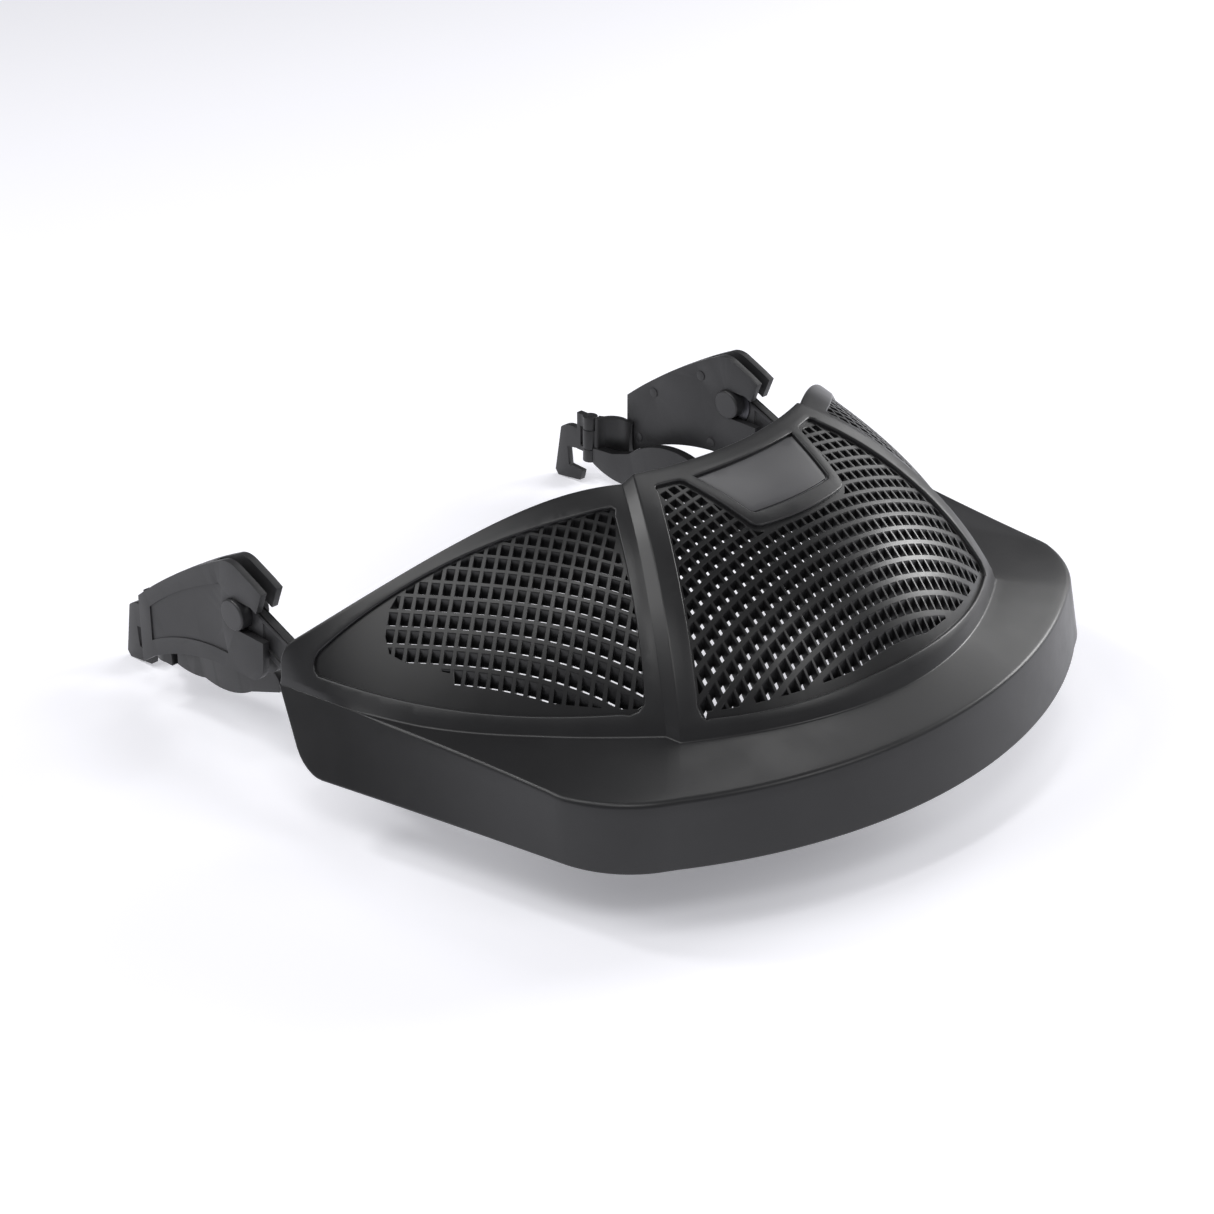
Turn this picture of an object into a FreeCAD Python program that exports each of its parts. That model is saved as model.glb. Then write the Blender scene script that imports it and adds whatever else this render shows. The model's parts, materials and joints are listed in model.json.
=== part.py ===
import FreeCAD, Part
import math
import os

# Vented visor carrier of a forestry helmet, in millimetres.
# +X is the wearer's left, -Y the front and +Z up. Every piece is drawn from the plane of the
# skirt's lower rim, and its Placement moves it to the row's origin, which is below the middle
# of the whole object at the height of the spring clips' feet.

Vector = FreeCAD.Vector
LEFT = 1
RIGHT = -1
SIDES = [("left", LEFT), ("right", RIGHT)]

document = FreeCAD.newDocument("visor_carrier")

# ------------------------------------------------------------------ driving dimensions

SIZES = [
    ("origin_shift_back", 13.5, "skirt rim frame to origin, along Y"),
    ("origin_shift_up", 23.0, "skirt rim frame to origin, along Z"),
    ("skirt_height", 20.5, "skirt, rim to brim edge"),
    ("wall", 2.6, "wall of the carrier shell"),
    ("brim_rise", 5.8, "crown foot above the brim edge"),
    ("crown_top", 80.6, "top edge of the crown above the rim"),
    ("grille_depth", 1.2, "grille face below the crown's face"),
    ("grille_plate", 2.8, "thickness of a grille"),
    ("badge_depth", 0.8, "badge face below the crown's face"),
    ("pivot_back", 43.8, "pivot axis, along Y"),
    ("pivot_up", 28.0, "pivot axis above the rim"),
    ("pin_radius", 5.25, "pivot pin"),
    ("pin_clearance", 0.05, "pivot pin in its slot, radial"),
    ("pin_proud", 1.3, "pin head proud of the bracket's faces"),
    ("bracket_face", 116.5, "bracket's outer face from the middle"),
    ("bracket_plate", 2.4, "thickness of the bracket's two plates"),
    ("bracket_channel", 3.9, "space between the bracket's plates"),
    ("arm_plate", 3.0, "thickness of the link arm"),
    ("arm_gap", 0.4, "link arm to outer cover"),
    ("arm_web_depth", 0.7, "recess in the arm's faces"),
    ("washer", 0.4, "thickness of the spring washer"),
    ("washer_radius", 8.0, "spring washer, outside"),
    ("stake_radius", 1.8, "stake post"),
    ("stake_proud", 0.2, "stake post proud of the inner plate"),
    ("rivet_radius", 2.0, "arm rivet shank"),
    ("rivet_head_radius", 3.4, "arm rivet head"),
    ("rivet_head", 1.2, "arm rivet head thickness"),
    ("rivet_length", 8.0, "arm rivet shank length"),
    ("stud_radius", 2.5, "visor stud"),
    ("stud_length", 4.0, "visor stud, wall to tip"),
    ("stud_height", 10.0, "visor stud above the rim"),
    ("stud_root", 0.1, "visor stud sunk in the skirt's wall"),
    ("tongue_face", 102.5, "slot tongue's outer face from the middle"),
    ("tongue_plate", 3.5, "thickness of the slot tongue"),
    ("clip_plate", 2.5, "thickness of the spring clip"),
    ("hinge_back", 106.0, "clip hinge axis, along Y"),
    ("hinge_side", 100.5, "clip hinge axis from the middle"),
    ("hinge_radius", 2.8, "clip hinge barrel"),
    ("hinge_pin_radius", 1.0, "clip hinge pin"),
    ("hinge_clearance", 0.05, "clip hinge pin in the clip, radial"),
    ("panel_recess", 0.5, "depth of the cover's decorative panel"),
]

sheet = document.addObject("Spreadsheet::Sheet", "Sizes")
for row, (alias, value, meaning) in enumerate(SIZES, start=1):
    sheet.set("A%d" % row, meaning)
    sheet.set("B%d" % row, str(value))
    sheet.setAlias("B%d" % row, alias)
document.recompute()


def size(alias):
    return float(getattr(sheet, alias))


TO_ORIGIN = FreeCAD.Placement(
    Vector(0, size("origin_shift_back"), size("origin_shift_up")), FreeCAD.Rotation()
)
NODES = []


# ------------------------------------------------------------------ helpers


def keep(piece, name):
    """Name a finished sub-part and move it to the row's origin."""
    piece.Label = name
    piece.Placement = TO_ORIGIN
    NODES.append(piece)


def keep_shape(shape, name):
    piece = document.addObject("Part::Feature", name)
    piece.Shape = shape
    keep(piece, name)


def mirrored(shape):
    return shape.mirror(Vector(0, 0, 0), Vector(1, 0, 0))


def arc(start, middle, end):
    return Part.Arc(Vector(*start), Vector(*middle), Vector(*end)).toShape()


def line(start, end):
    return Part.makeLine(Vector(*start), Vector(*end))


def outline_edges(start, steps):
    """Edges of an outline. A step is an end point, or a pair (middle, end) for an arc."""
    edges = []
    here = start
    for step in steps:
        if isinstance(step[0], tuple):
            middle, end = step
            edges.append(Part.Arc(Vector(*here, 0), Vector(*middle, 0), Vector(*end, 0)))
        else:
            end = step
            edges.append(Part.LineSegment(Vector(*here, 0), Vector(*end, 0)))
        here = end
    return edges


def prism(start, steps, bottom, height, axis="Z"):
    """Solid of a closed outline, drawn in XY and raised in Z, or drawn in YZ and grown in X."""
    edges = [edge.toShape() for edge in outline_edges(start, steps)]
    face = Part.Face(Part.Wire(edges))
    if axis == "X":
        face.Placement = FreeCAD.Placement(
            Vector(bottom, 0, 0), FreeCAD.Rotation(Vector(0, 1, 0), Vector(0, 0, 1), Vector(1, 0, 0))
        )
        return face.extrude(Vector(height, 0, 0))
    face.translate(Vector(0, 0, bottom))
    return face.extrude(Vector(0, 0, height))


def plane_of(body, role):
    return next(item for item in body.Origin.OriginFeatures if item.Role == role)


def new_body(name):
    body = document.addObject("PartDesign::Body", name)
    body.Label = name
    return body


def side_sketch(body, name, offset, start, steps, circles=()):
    """Sketch in a plane of constant X, drawn as (Y, Z). offset is an expression for its X."""
    sketch = body.newObject("Sketcher::SketchObject", name)
    sketch.AttachmentSupport = [(plane_of(body, "YZ_Plane"), "")]
    sketch.MapMode = "FlatFace"
    sketch.setExpression("AttachmentOffset.Base.z", offset)
    sketch.addGeometry(outline_edges(start, steps), False)
    for centre, radius in circles:
        circle = Part.Circle(Vector(*centre, 0), Vector(0, 0, 1), radius)
        sketch.addGeometry(circle, False)
    return sketch


def pad(body, sketch, length, side, inward=True):
    """Grow a side sketch towards the middle of the object, or away from it."""
    feature = body.newObject("PartDesign::Pad", sketch.Name + "_pad")
    feature.Profile = sketch
    feature.setExpression("Length", length)
    feature.Reversed = (side == LEFT) == inward
    document.recompute()
    return feature


def pocket(body, sketch, depth, side, inward=True):
    """Cut a side sketch towards the middle of the object, or away from it."""
    before = body.Shape.Volume
    feature = body.newObject("PartDesign::Pocket", sketch.Name + "_pocket")
    feature.Profile = sketch
    feature.setExpression("Length", depth)
    feature.Reversed = (side == LEFT) != inward
    document.recompute()
    if body.Shape.Volume >= before:
        raise RuntimeError(sketch.Name + " cuts nothing")
    return feature


def signed(side, expression):
    return "%d * (%s)" % (side, expression)


def cylinder_along_x(name, radius, start, length, back, up):
    """Part::Cylinder along +X with its sizes bound to the sheet."""
    piece = document.addObject("Part::Cylinder", name)
    piece.setExpression("Radius", radius)
    piece.setExpression("Height", length)
    piece.Placement.Rotation = FreeCAD.Rotation(Vector(0, 1, 0), 90)
    piece.setExpression("Placement.Base.x", start)
    piece.Placement.Base.y = back
    piece.Placement.Base.z = up
    return piece


# ------------------------------------------------------------------ carrier: crown surfaces

# A crown section is an upright circular arc from its top to its foot, with the bulge (the
# height of the arc over its chord) that gives the dome its fullness.
RIDGE_TOP = (37.1, -50.6, size("crown_top"))
RIDGE_FOOT = (72.5, -105.0, size("skirt_height") + size("brim_rise"))
RIDGE_BULGE = 8.4
MIDDLE_TOP = (0.0, -57.0, size("crown_top"))
MIDDLE_FOOT = (0.0, -129.8, size("skirt_height") + size("brim_rise"))
MIDDLE_BULGE = 10.5

# The side panels start at the foot of a small step beside each ridge, and run back to the
# carrier's rear corners, where only a low wall is left over the skirt.
SIDE_SECTIONS = [
    ((40.0, -49.0, 77.8), (73.5, -100.0, 26.0), 8.4),
    ((60.0, -36.0, 74.2), (93.1, -76.3, 24.3), 5.5),
    ((81.2, -22.0, 63.8), (108.0, -52.0, 22.3), 2.6),
    ((104.0, -6.0, 48.5), (119.7, -23.0, 20.5), 0.8),
    ((124.8, 10.2, 32.0), (126.4, 7.6, 20.5), 0.15),
]
FOOT_EXTENSION = 2.0


def section_wire(top, foot, bulge, outer_depth, inner_depth):
    """Closed strip between two arcs at two depths under the crown's face, in an upright plane."""
    top = Vector(*top)
    foot = Vector(*foot)
    run = Vector(foot.x - top.x, foot.y - top.y, 0)
    reach = run.Length
    run.normalize()
    drop = top.z - foot.z
    chord = math.hypot(reach, drop)
    radius = chord * chord / (8 * bulge) + bulge / 2
    # centre of the arcs, as a distance along run and a height
    middle = (reach / 2, top.z - drop / 2)
    inward = (-drop / chord, -reach / chord)
    centre = (middle[0] + inward[0] * (radius - bulge), middle[1] + inward[1] * (radius - bulge))

    def at(depth, angle):
        distance = centre[0] + (radius - depth) * math.cos(angle)
        height = centre[1] + (radius - depth) * math.sin(angle)
        return Vector(top.x + run.x * distance, top.y + run.y * distance, height)

    top_angle = math.atan2(top.z - centre[1], -centre[0])
    foot_angle = math.atan2(foot.z - centre[1], reach - centre[0])
    foot_angle -= FOOT_EXTENSION / radius
    half = (top_angle + foot_angle) / 2
    outer = Part.Arc(at(outer_depth, top_angle), at(outer_depth, half), at(outer_depth, foot_angle))
    inner = Part.Arc(at(inner_depth, foot_angle), at(inner_depth, half), at(inner_depth, top_angle))
    bottom_edge = Part.makeLine(at(outer_depth, foot_angle), at(inner_depth, foot_angle))
    top_edge = Part.makeLine(at(inner_depth, top_angle), at(outer_depth, top_angle))
    return Part.Wire([outer.toShape(), bottom_edge, inner.toShape(), top_edge])


def other_side(point):
    return (-point[0], point[1], point[2])


def centre_panel(outer_depth, inner_depth):
    """Layer of the crown between its two ridges."""
    wires = [
        section_wire(RIDGE_TOP, RIDGE_FOOT, RIDGE_BULGE, outer_depth, inner_depth),
        section_wire(MIDDLE_TOP, MIDDLE_FOOT, MIDDLE_BULGE, outer_depth, inner_depth),
        section_wire(
            other_side(RIDGE_TOP), other_side(RIDGE_FOOT), RIDGE_BULGE, outer_depth, inner_depth
        ),
    ]
    return Part.makeLoft(wires, True, False)


def side_panel(outer_depth, inner_depth):
    """Layer of the crown from the left ridge's step back to the left rear corner."""
    wires = [
        section_wire(top, foot, bulge, outer_depth, inner_depth)
        for top, foot, bulge in SIDE_SECTIONS
    ]
    return Part.makeLoft(wires, True, False)


def ridge_step():
    """Sloping step, one wall thick, from the left ridge down to the side panel."""
    wires = [
        section_wire(RIDGE_TOP, RIDGE_FOOT, RIDGE_BULGE, 0, size("wall")),
        section_wire(*SIDE_SECTIONS[0], 0, size("wall")),
    ]
    return Part.makeLoft(wires, True, True)


# ------------------------------------------------------------------ carrier: skirt and brim

# Half outlines of the skirt, as (X, Y): rear end, side, corner and front, where every second
# point is the middle of an arc.
RIM_OUTLINE = [(133.5, -8.2), (123.2, -52.6), (113.7, -97.0), (106.8, -112.2), (93.7, -122.6)]
RIM_FRONT = (0.0, -150.5)
EDGE_OUTLINE = [(126.6, 10.1), (117.9, -42.0), (112.5, -95.5), (103.6, -110.6), (91.0, -120.3)]
EDGE_FRONT = (0.0, -145.5)
BRIM_EDGE_INSET = 1.2
BRIM_EDGE_SINK = 0.4
BRIM_REAR_CORNER = (124.6, 5.0)
# inner edge of the brim, hidden in the crown's wall, from the rear corner to the ridge
BRIM_INNER = [
    (120.5, 4.0, 20.3),
    (112.8, -30.0, 20.8),
    (95.5, -69.0, 23.8),
    (83.8, -84.6, 25.0),
    (71.4, -101.4, 26.0),
]
BRIM_INNER_FRONT = (0.0, -128.0, 26.2)


def full_outline(half, front):
    """Half outline, its front middle and its mirror image."""
    return half + [front] + [(-x, y) for x, y in reversed(half)]


def inset(outline, distance):
    """Move every point of an outline inwards, square to the line through its neighbours."""
    moved = []
    last = len(outline) - 1
    for index, (x, y) in enumerate(outline):
        before = outline[max(index - 1, 0)]
        after = outline[min(index + 1, last)]
        along = Vector(after[0] - before[0], after[1] - before[1], 0)
        along.normalize()
        moved.append((x + along.y * distance, y - along.x * distance))
    return moved


def arcs_through(points):
    """Arcs through every three points of a line in space."""
    return [arc(*points[index:index + 3]) for index in range(0, len(points) - 2, 2)]


def chain(outline, height):
    return arcs_through([(x, y, height) for x, y in outline])


def band_wire(outline, height, thickness):
    """Closed wire of a wall that follows an open outline."""
    inner = inset(outline, thickness)
    inner.reverse()
    edges = chain(outline, height)
    edges.append(line((*outline[-1], height), (*inner[0], height)))
    edges += chain(inner, height)
    edges.append(line((*inner[-1], height), (*outline[0], height)))
    return Part.Wire(edges)


def filled_wire(outline, height):
    edges = chain(outline, height)
    edges.append(line((*outline[-1], height), (*outline[0], height)))
    return Part.Wire(edges)


def skirt():
    rim = full_outline(RIM_OUTLINE, RIM_FRONT)
    edge = full_outline(EDGE_OUTLINE, EDGE_FRONT)
    wires = [band_wire(rim, 0, size("wall")), band_wire(edge, size("skirt_height"), size("wall"))]
    return Part.makeLoft(wires, True, True)


def inside_of_skirt():
    """Everything within the skirt's outer face, to trim the arm mounts."""
    rim = full_outline(RIM_OUTLINE, RIM_FRONT)
    edge = full_outline(EDGE_OUTLINE, EDGE_FRONT)
    wires = [filled_wire(rim, 0), filled_wire(edge, size("skirt_height"))]
    return Part.makeLoft(wires, True, True)


def brim():
    """Sloping plate from inside the skirt's upper edge up to inside the crown's foot."""
    outer_half = inset(EDGE_OUTLINE, BRIM_EDGE_INSET)
    outer_half[0] = BRIM_REAR_CORNER
    front = (EDGE_FRONT[0], EDGE_FRONT[1] + BRIM_EDGE_INSET)
    low = size("skirt_height") - BRIM_EDGE_SINK
    outer = [(x, y, low) for x, y in full_outline(outer_half, front)]
    inner = BRIM_INNER + [BRIM_INNER_FRONT] + [other_side(point) for point in BRIM_INNER[::-1]]
    wires = [Part.Wire(arcs_through(outer)), Part.Wire(arcs_through(inner))]
    spans = Part.makeLoft(wires, False, True).Faces
    plates = [span.extrude(Vector(0, 0, -size("wall"))) for span in spans]
    return plates[0].fuse(plates[1:]).removeSplitter()


# ------------------------------------------------------------------ carrier: windows

CENTRE_WINDOW = (
    (33.6, -57.9),
    [
        ((34.9, -57.9), (35.6, -59.6)),
        (63.9, -103.2),
        ((65.0, -106.0), (62.8, -107.9)),
        ((0.0, -126.2), (-62.8, -107.9)),
        ((-65.0, -106.0), (-63.9, -103.2)),
        (-35.6, -59.6),
        ((-34.9, -57.9), (-33.6, -57.9)),
        (-28.0, -59.6),
        ((-26.3, -60.6), (-25.6, -62.8)),
        (-21.0, -81.8),
        ((-19.6, -84.6), (-16.4, -86.0)),
        ((0.0, -87.8), (16.4, -86.0)),
        ((19.6, -84.6), (21.0, -81.8)),
        (25.6, -62.8),
        ((26.3, -60.6), (28.0, -59.6)),
        (33.6, -57.9),
    ],
)
BADGE_WINDOW = (
    (22.0, -61.4),
    [
        (17.9, -78.8),
        ((17.0, -80.9), (14.8, -81.6)),
        ((0.0, -82.9), (-14.8, -81.6)),
        ((-17.0, -80.9), (-17.9, -78.8)),
        (-22.0, -61.4),
        ((0.0, -63.2), (22.0, -61.4)),
    ],
)
# the side window is drawn as (Y, Z), seen from the side
SIDE_WINDOW = (
    (-2.4, 26.6),
    [
        ((-45.0, 26.9), (-88.4, 31.2)),
        ((-91.6, 32.0), (-91.5, 35.2)),
        ((-75.4, 58.0), (-55.6, 72.9)),
        ((-53.4, 74.2), (-50.6, 74.0)),
        ((-30.0, 64.2), (-0.9, 34.4)),
        ((0.4, 30.0), (-2.4, 26.6)),
    ],
)
CUT_LOW = 18.0
CUT_HIGH = 90.0
CUT_INNER = 34.0
CUT_OUTER = 140.0


def centre_cutter():
    return prism(*CENTRE_WINDOW, CUT_LOW, CUT_HIGH - CUT_LOW)


def badge_cutter():
    return prism(*BADGE_WINDOW, CUT_LOW, CUT_HIGH - CUT_LOW)


def side_cutter():
    return prism(*SIDE_WINDOW, CUT_INNER, CUT_OUTER - CUT_INNER, axis="X")


# ------------------------------------------------------------------ carrier: shell

ARM_MOUNT_FRONT = -34.0
ARM_MOUNT_REAR = -2.0
ARM_MOUNT_LOW = 4.0
RIVET_PLACES = [(-10.0, 11.5), (-26.0, 11.5)]
ARM_FACE = size("bracket_face") - size("bracket_plate") - size("arm_gap")


def arm_mount():
    """Block inside the left rear corner that the link arm is riveted to."""
    block = Part.makeBox(
        CUT_OUTER - ARM_FACE,
        ARM_MOUNT_REAR - ARM_MOUNT_FRONT,
        size("skirt_height") - ARM_MOUNT_LOW,
        Vector(ARM_FACE, ARM_MOUNT_FRONT, ARM_MOUNT_LOW),
    )
    mount = block.common(inside_of_skirt())
    for back, up in RIVET_PLACES:
        depth = size("rivet_length") - size("arm_plate")
        hole = Part.makeCylinder(
            size("rivet_radius"), depth, Vector(ARM_FACE, back, up), Vector(1, 0, 0)
        )
        mount = mount.cut(hole)
    return mount


def carrier_shell():
    half = [side_panel(0, size("wall")), ridge_step(), arm_mount()]
    pieces = [centre_panel(0, size("wall")), brim()] + half + [mirrored(item) for item in half]
    shell = skirt().fuse(pieces).removeSplitter()
    cutters = [centre_cutter(), badge_cutter(), side_cutter(), mirrored(side_cutter())]
    return shell.cut(cutters)


# ------------------------------------------------------------------ carrier: grilles and badge


def centre_grille():
    depth = size("grille_depth")
    layer = centre_panel(depth, depth + size("grille_plate"))
    return layer.common(centre_cutter())


def side_grille():
    depth = size("grille_depth")
    layer = side_panel(depth, depth + size("grille_plate"))
    return layer.common(side_cutter())


def badge_plate():
    layer = centre_panel(size("badge_depth"), size("wall"))
    return layer.common(badge_cutter())


# ------------------------------------------------------------------ carrier: arms, pins, studs

# The arm leaves the pivot forwards and down, then lies level along its mount. (Y, Z) outline.
ARM_END = -32.0
ARM_OUTLINE = (
    (47.1, 35.3),
    [
        (6.0, 19.3),
        (-2.0, 17.0),
        (ARM_END + 5.0, 17.0),
        ((ARM_END + 1.0, 16.0), (ARM_END, 12.5)),
        (ARM_END, 8.0),
        ((ARM_END + 1.2, 5.2), (ARM_END + 4.0, 4.0)),
        (3.0, 4.0),
        (40.6, 20.7),
        ((51.0, 24.6), (47.1, 35.3)),
    ],
)
ARM_WEB = (
    (33.5, 27.6),
    [
        (6.6, 17.1),
        (-3.0, 15.0),
        (-3.0, 6.0),
        (2.6, 6.0),
        (33.5, 19.8),
        (33.5, 27.6),
    ],
)
ARM_INNER = "Sizes.bracket_face - Sizes.bracket_plate - Sizes.arm_gap - Sizes.arm_plate"


def pivot():
    return (size("pivot_back"), size("pivot_up"))


def link_arm(name, side):
    """Flat arm with a bored end for the pivot pin, sunk webs and two rivet holes."""
    body = new_body(name)
    holes = [(pivot(), size("pin_radius"))]
    holes += [(place, size("rivet_radius")) for place in RIVET_PLACES]
    outer = "Sizes.bracket_face - Sizes.bracket_plate - Sizes.arm_gap"
    blank = side_sketch(body, name + "_blank", signed(side, outer), *ARM_OUTLINE, holes)
    pad(body, blank, "Sizes.arm_plate", side)
    web = side_sketch(body, name + "_outer_web", signed(side, outer), *ARM_WEB)
    pocket(body, web, "Sizes.arm_web_depth", side)
    web = side_sketch(body, name + "_inner_web", signed(side, ARM_INNER), *ARM_WEB)
    pocket(body, web, "Sizes.arm_web_depth", side, inward=False)
    keep(body, name)


def start_and_length(side, inner, outer):
    """Expressions for a cylinder along +X between two distances from the middle."""
    start = inner if side == LEFT else "-(%s)" % outer
    return start, "(%s) - (%s)" % (outer, inner)


def pivot_pin(name, side):
    """Round pin that snaps into the bracket's open slots, with a rounded edge on both heads."""
    inner_face = "Sizes.bracket_face - 2 * Sizes.bracket_plate - Sizes.bracket_channel"
    inner = inner_face + " - Sizes.pin_proud"
    outer = "Sizes.bracket_face + Sizes.pin_proud"
    start, length = start_and_length(side, inner, outer)
    blank = cylinder_along_x(name + "_blank", "Sizes.pin_radius", start, length, *pivot())
    document.recompute()
    pin = document.addObject("Part::Fillet", name)
    pin.Base = blank
    head_edge = 0.8
    pin.Edges = [
        (number, head_edge, head_edge)
        for number, edge in enumerate(blank.Shape.Edges, start=1)
        if isinstance(edge.Curve, Part.Circle)
    ]
    keep(pin, name)


def spring_washer(name, side):
    """Thin ring between the arm and the inner plate, whose squeeze holds the carrier still."""
    inner = ARM_INNER + " - Sizes.washer"
    start, length = start_and_length(side, inner, ARM_INNER)
    disc = cylinder_along_x(name + "_disc", "Sizes.washer_radius", start, length, *pivot())
    hole = cylinder_along_x(name + "_hole", "Sizes.pin_radius", start, length, *pivot())
    ring = document.addObject("Part::Cut", name)
    ring.Base = disc
    ring.Tool = hole
    keep(ring, name)


def arm_rivets(name, side):
    """Two flanged rivets, in from the arm's inner face."""
    rivets = []
    for number, (back, up) in enumerate(RIVET_PLACES, start=1):
        label = "%s_%d" % (name, number)
        start, length = start_and_length(side, ARM_INNER, ARM_INNER + " + Sizes.rivet_length")
        shank = cylinder_along_x(label + "_shank", "Sizes.rivet_radius", start, length, back, up)
        start, length = start_and_length(side, ARM_INNER + " - Sizes.rivet_head", ARM_INNER)
        head = cylinder_along_x(label + "_head", "Sizes.rivet_head_radius", start, length, back, up)
        rivet = document.addObject("Part::Fuse", label)
        rivet.Base = shank
        rivet.Tool = head
        rivets.append(rivet)
    group = document.addObject("Part::Compound", name)
    group.Links = rivets
    keep(group, name)


# the studs stand square on the skirt's wall, which is round about this centre at the front
STUD_ANGLES = [-30.0, -15.0, 0.0, 15.0, 30.0]
SKIRT_CENTRE_BACK = 26.0
AIM_RADIUS = 160.0


def visor_studs():
    """Pegs round the inside of the skirt that the face shield's holes are pressed on."""
    wall = skirt()
    studs = []
    for angle in STUD_ANGLES:
        turn = math.radians(angle)
        aim = Vector(
            AIM_RADIUS * math.sin(turn),
            SKIRT_CENTRE_BACK - AIM_RADIUS * math.cos(turn),
            size("stud_height"),
        )
        nearest_pair = wall.distToShape(Part.Vertex(aim))[1][0]
        on_wall = nearest_pair[0]
        inward = aim - on_wall
        inward.normalize()
        root = on_wall - inward * size("stud_root")
        length = size("stud_root") + size("stud_length")
        studs.append(Part.makeCylinder(size("stud_radius"), length, root, inward))
    return Part.makeCompound(studs)


# ------------------------------------------------------------------ bracket

# Both plates of a bracket have the same outline, drawn as (Y, Z): a slot that is open to the
# front round the pivot pin, a hooked nose over it and an arched lower edge.
def slot_radius():
    return size("pin_radius") + size("pin_clearance")


def plate_outline():
    back, up = pivot()
    slot = slot_radius()
    return (
        (94.0, 16.0),
        [
            (94.0, -8.3),
            (87.5, -3.7),
            ((65.0, 4.9), (38.0, 7.6)),
            ((32.9, 9.6), (31.0, 14.0)),
            (30.4, up - slot),
            (back, up - slot),
            ((back + slot, up), (back, up + slot)),
            (35.7, up + slot),
            (33.0, 32.0),
            (30.0, 39.5),
            (33.8, 41.4),
            (41.5, 44.7),
            ((46.0, 45.5), (50.0, 44.2)),
            ((73.0, 31.3), (94.0, 16.0)),
        ],
    )


# strip that closes the channel along the top and the rear
TOP_WALL = (
    (57.0, 40.6),
    [
        ((75.8, 29.6), (94.0, 16.0)),
        (94.0, -8.3),
        (92.0, -6.9),
        (92.0, 14.8),
        ((74.8, 27.7), (55.9, 38.7)),
        (57.0, 40.6),
    ],
)
COVER_PANEL = (
    (88.2, 14.0),
    [
        ((70.0, 26.8), (52.0, 35.6)),
        ((50.2, 36.0), (49.8, 34.6)),
        ((50.3, 23.0), (48.2, 12.4)),
        ((68.0, 10.0), (88.2, 1.8)),
        (88.2, 14.0),
    ],
)
STAKE_PLACES = [(57.2, 34.8), (80.5, 21.0), (88.0, 0.9), (51.8, 10.3)]
COVER_INNER = "Sizes.bracket_face - Sizes.bracket_plate"
INNER_PLATE_OUTER = "Sizes.bracket_face - Sizes.bracket_plate - Sizes.bracket_channel"
INNER_PLATE_INNER = "Sizes.bracket_face - 2 * Sizes.bracket_plate - Sizes.bracket_channel"


def outer_cover(name, side):
    """Outer plate with the wall that closes the bracket's top and rear, and a sunk panel."""
    body = new_body(name)
    face = side_sketch(body, name + "_face", signed(side, "Sizes.bracket_face"), *plate_outline())
    pad(body, face, "Sizes.bracket_plate", side)
    top = side_sketch(body, name + "_top", signed(side, COVER_INNER), *TOP_WALL)
    pad(body, top, "Sizes.bracket_channel", side)
    panel = side_sketch(body, name + "_panel", signed(side, "Sizes.bracket_face"), *COVER_PANEL)
    pocket(body, panel, "Sizes.panel_recess", side)
    keep(body, name)


def inner_plate(name, side):
    """Flat plate towards the head, with a hole for each stake post."""
    body = new_body(name)
    holes = [(place, size("stake_radius")) for place in STAKE_PLACES]
    outline = plate_outline()
    face = side_sketch(body, name + "_face", signed(side, INNER_PLATE_OUTER), *outline, holes)
    pad(body, face, "Sizes.bracket_plate", side)
    keep(body, name)


def stake_posts(name, side):
    """Four posts from the cover through the inner plate, flattened just proud of it."""
    start, length = start_and_length(
        side, INNER_PLATE_INNER + " - Sizes.stake_proud", COVER_INNER
    )
    posts = [
        cylinder_along_x("%s_%d" % (name, number), "Sizes.stake_radius", start, length, *place)
        for number, place in enumerate(STAKE_PLACES, start=1)
    ]
    group = document.addObject("Part::Compound", name)
    group.Links = posts
    keep(group, name)


# ------------------------------------------------------------------ slot tongue and clip

TONGUE_OUTLINE = (
    (84.6, -2.2),
    [
        ((63.0, 6.0), (46.0, 2.2)),
        ((41.6, -0.4), (41.6, -4.6)),
        (56.0, -10.0),
        ((61.0, -12.6), (80.0, -14.4)),
        ((92.0, -15.4), (103.2, -12.0)),
        (103.2, -6.0),
        (93.0, -5.0),
        (84.6, -2.2),
    ],
)
BARREL_LOW = -12.0
BARREL_HIGH = 6.0
KNUCKLE = 5.0
KNUCKLE_GAP = 0.2
SWING_GAP = 0.3


def hinge_cylinder(radius, low, high):
    """Upright cylinder round the left clip's hinge axis."""
    place = Vector(size("hinge_side"), size("hinge_back"), low)
    return Part.makeCylinder(radius, high - low, place)


def slot_tongue():
    """Curved web from the inner plate to the clip's hinge, with the rounded tongue below it."""
    tongue_inner = size("tongue_face") - size("tongue_plate")
    tongue = prism(*TONGUE_OUTLINE, tongue_inner, size("tongue_plate"), axis="X")
    plate_face = size("bracket_face") - 2 * size("bracket_plate") - size("bracket_channel")
    root = (plate_face, 90.5)
    web_steps = [
        (plate_face, 93.6),
        ((107.4, 98.6), (103.8, 102.0)),
        (size("hinge_side") + 1.0, size("hinge_back")),
        (size("hinge_side") - 1.0, size("hinge_back")),
        (100.0, 101.4),
        ((104.8, 98.0), (105.4, 90.5)),
        root,
    ]
    web = prism(root, web_steps, BARREL_LOW, BARREL_HIGH - BARREL_LOW)
    barrel = hinge_cylinder(size("hinge_radius"), BARREL_LOW, BARREL_HIGH)
    room = size("hinge_radius") + SWING_GAP
    cutters = [
        hinge_cylinder(room, BARREL_LOW - SWING_GAP, BARREL_LOW + KNUCKLE + KNUCKLE_GAP),
        hinge_cylinder(room, BARREL_HIGH - KNUCKLE - KNUCKLE_GAP, BARREL_HIGH),
        hinge_cylinder(size("hinge_pin_radius"), BARREL_LOW, BARREL_HIGH),
    ]
    return tongue.fuse([web, barrel]).cut(cutters)


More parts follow.
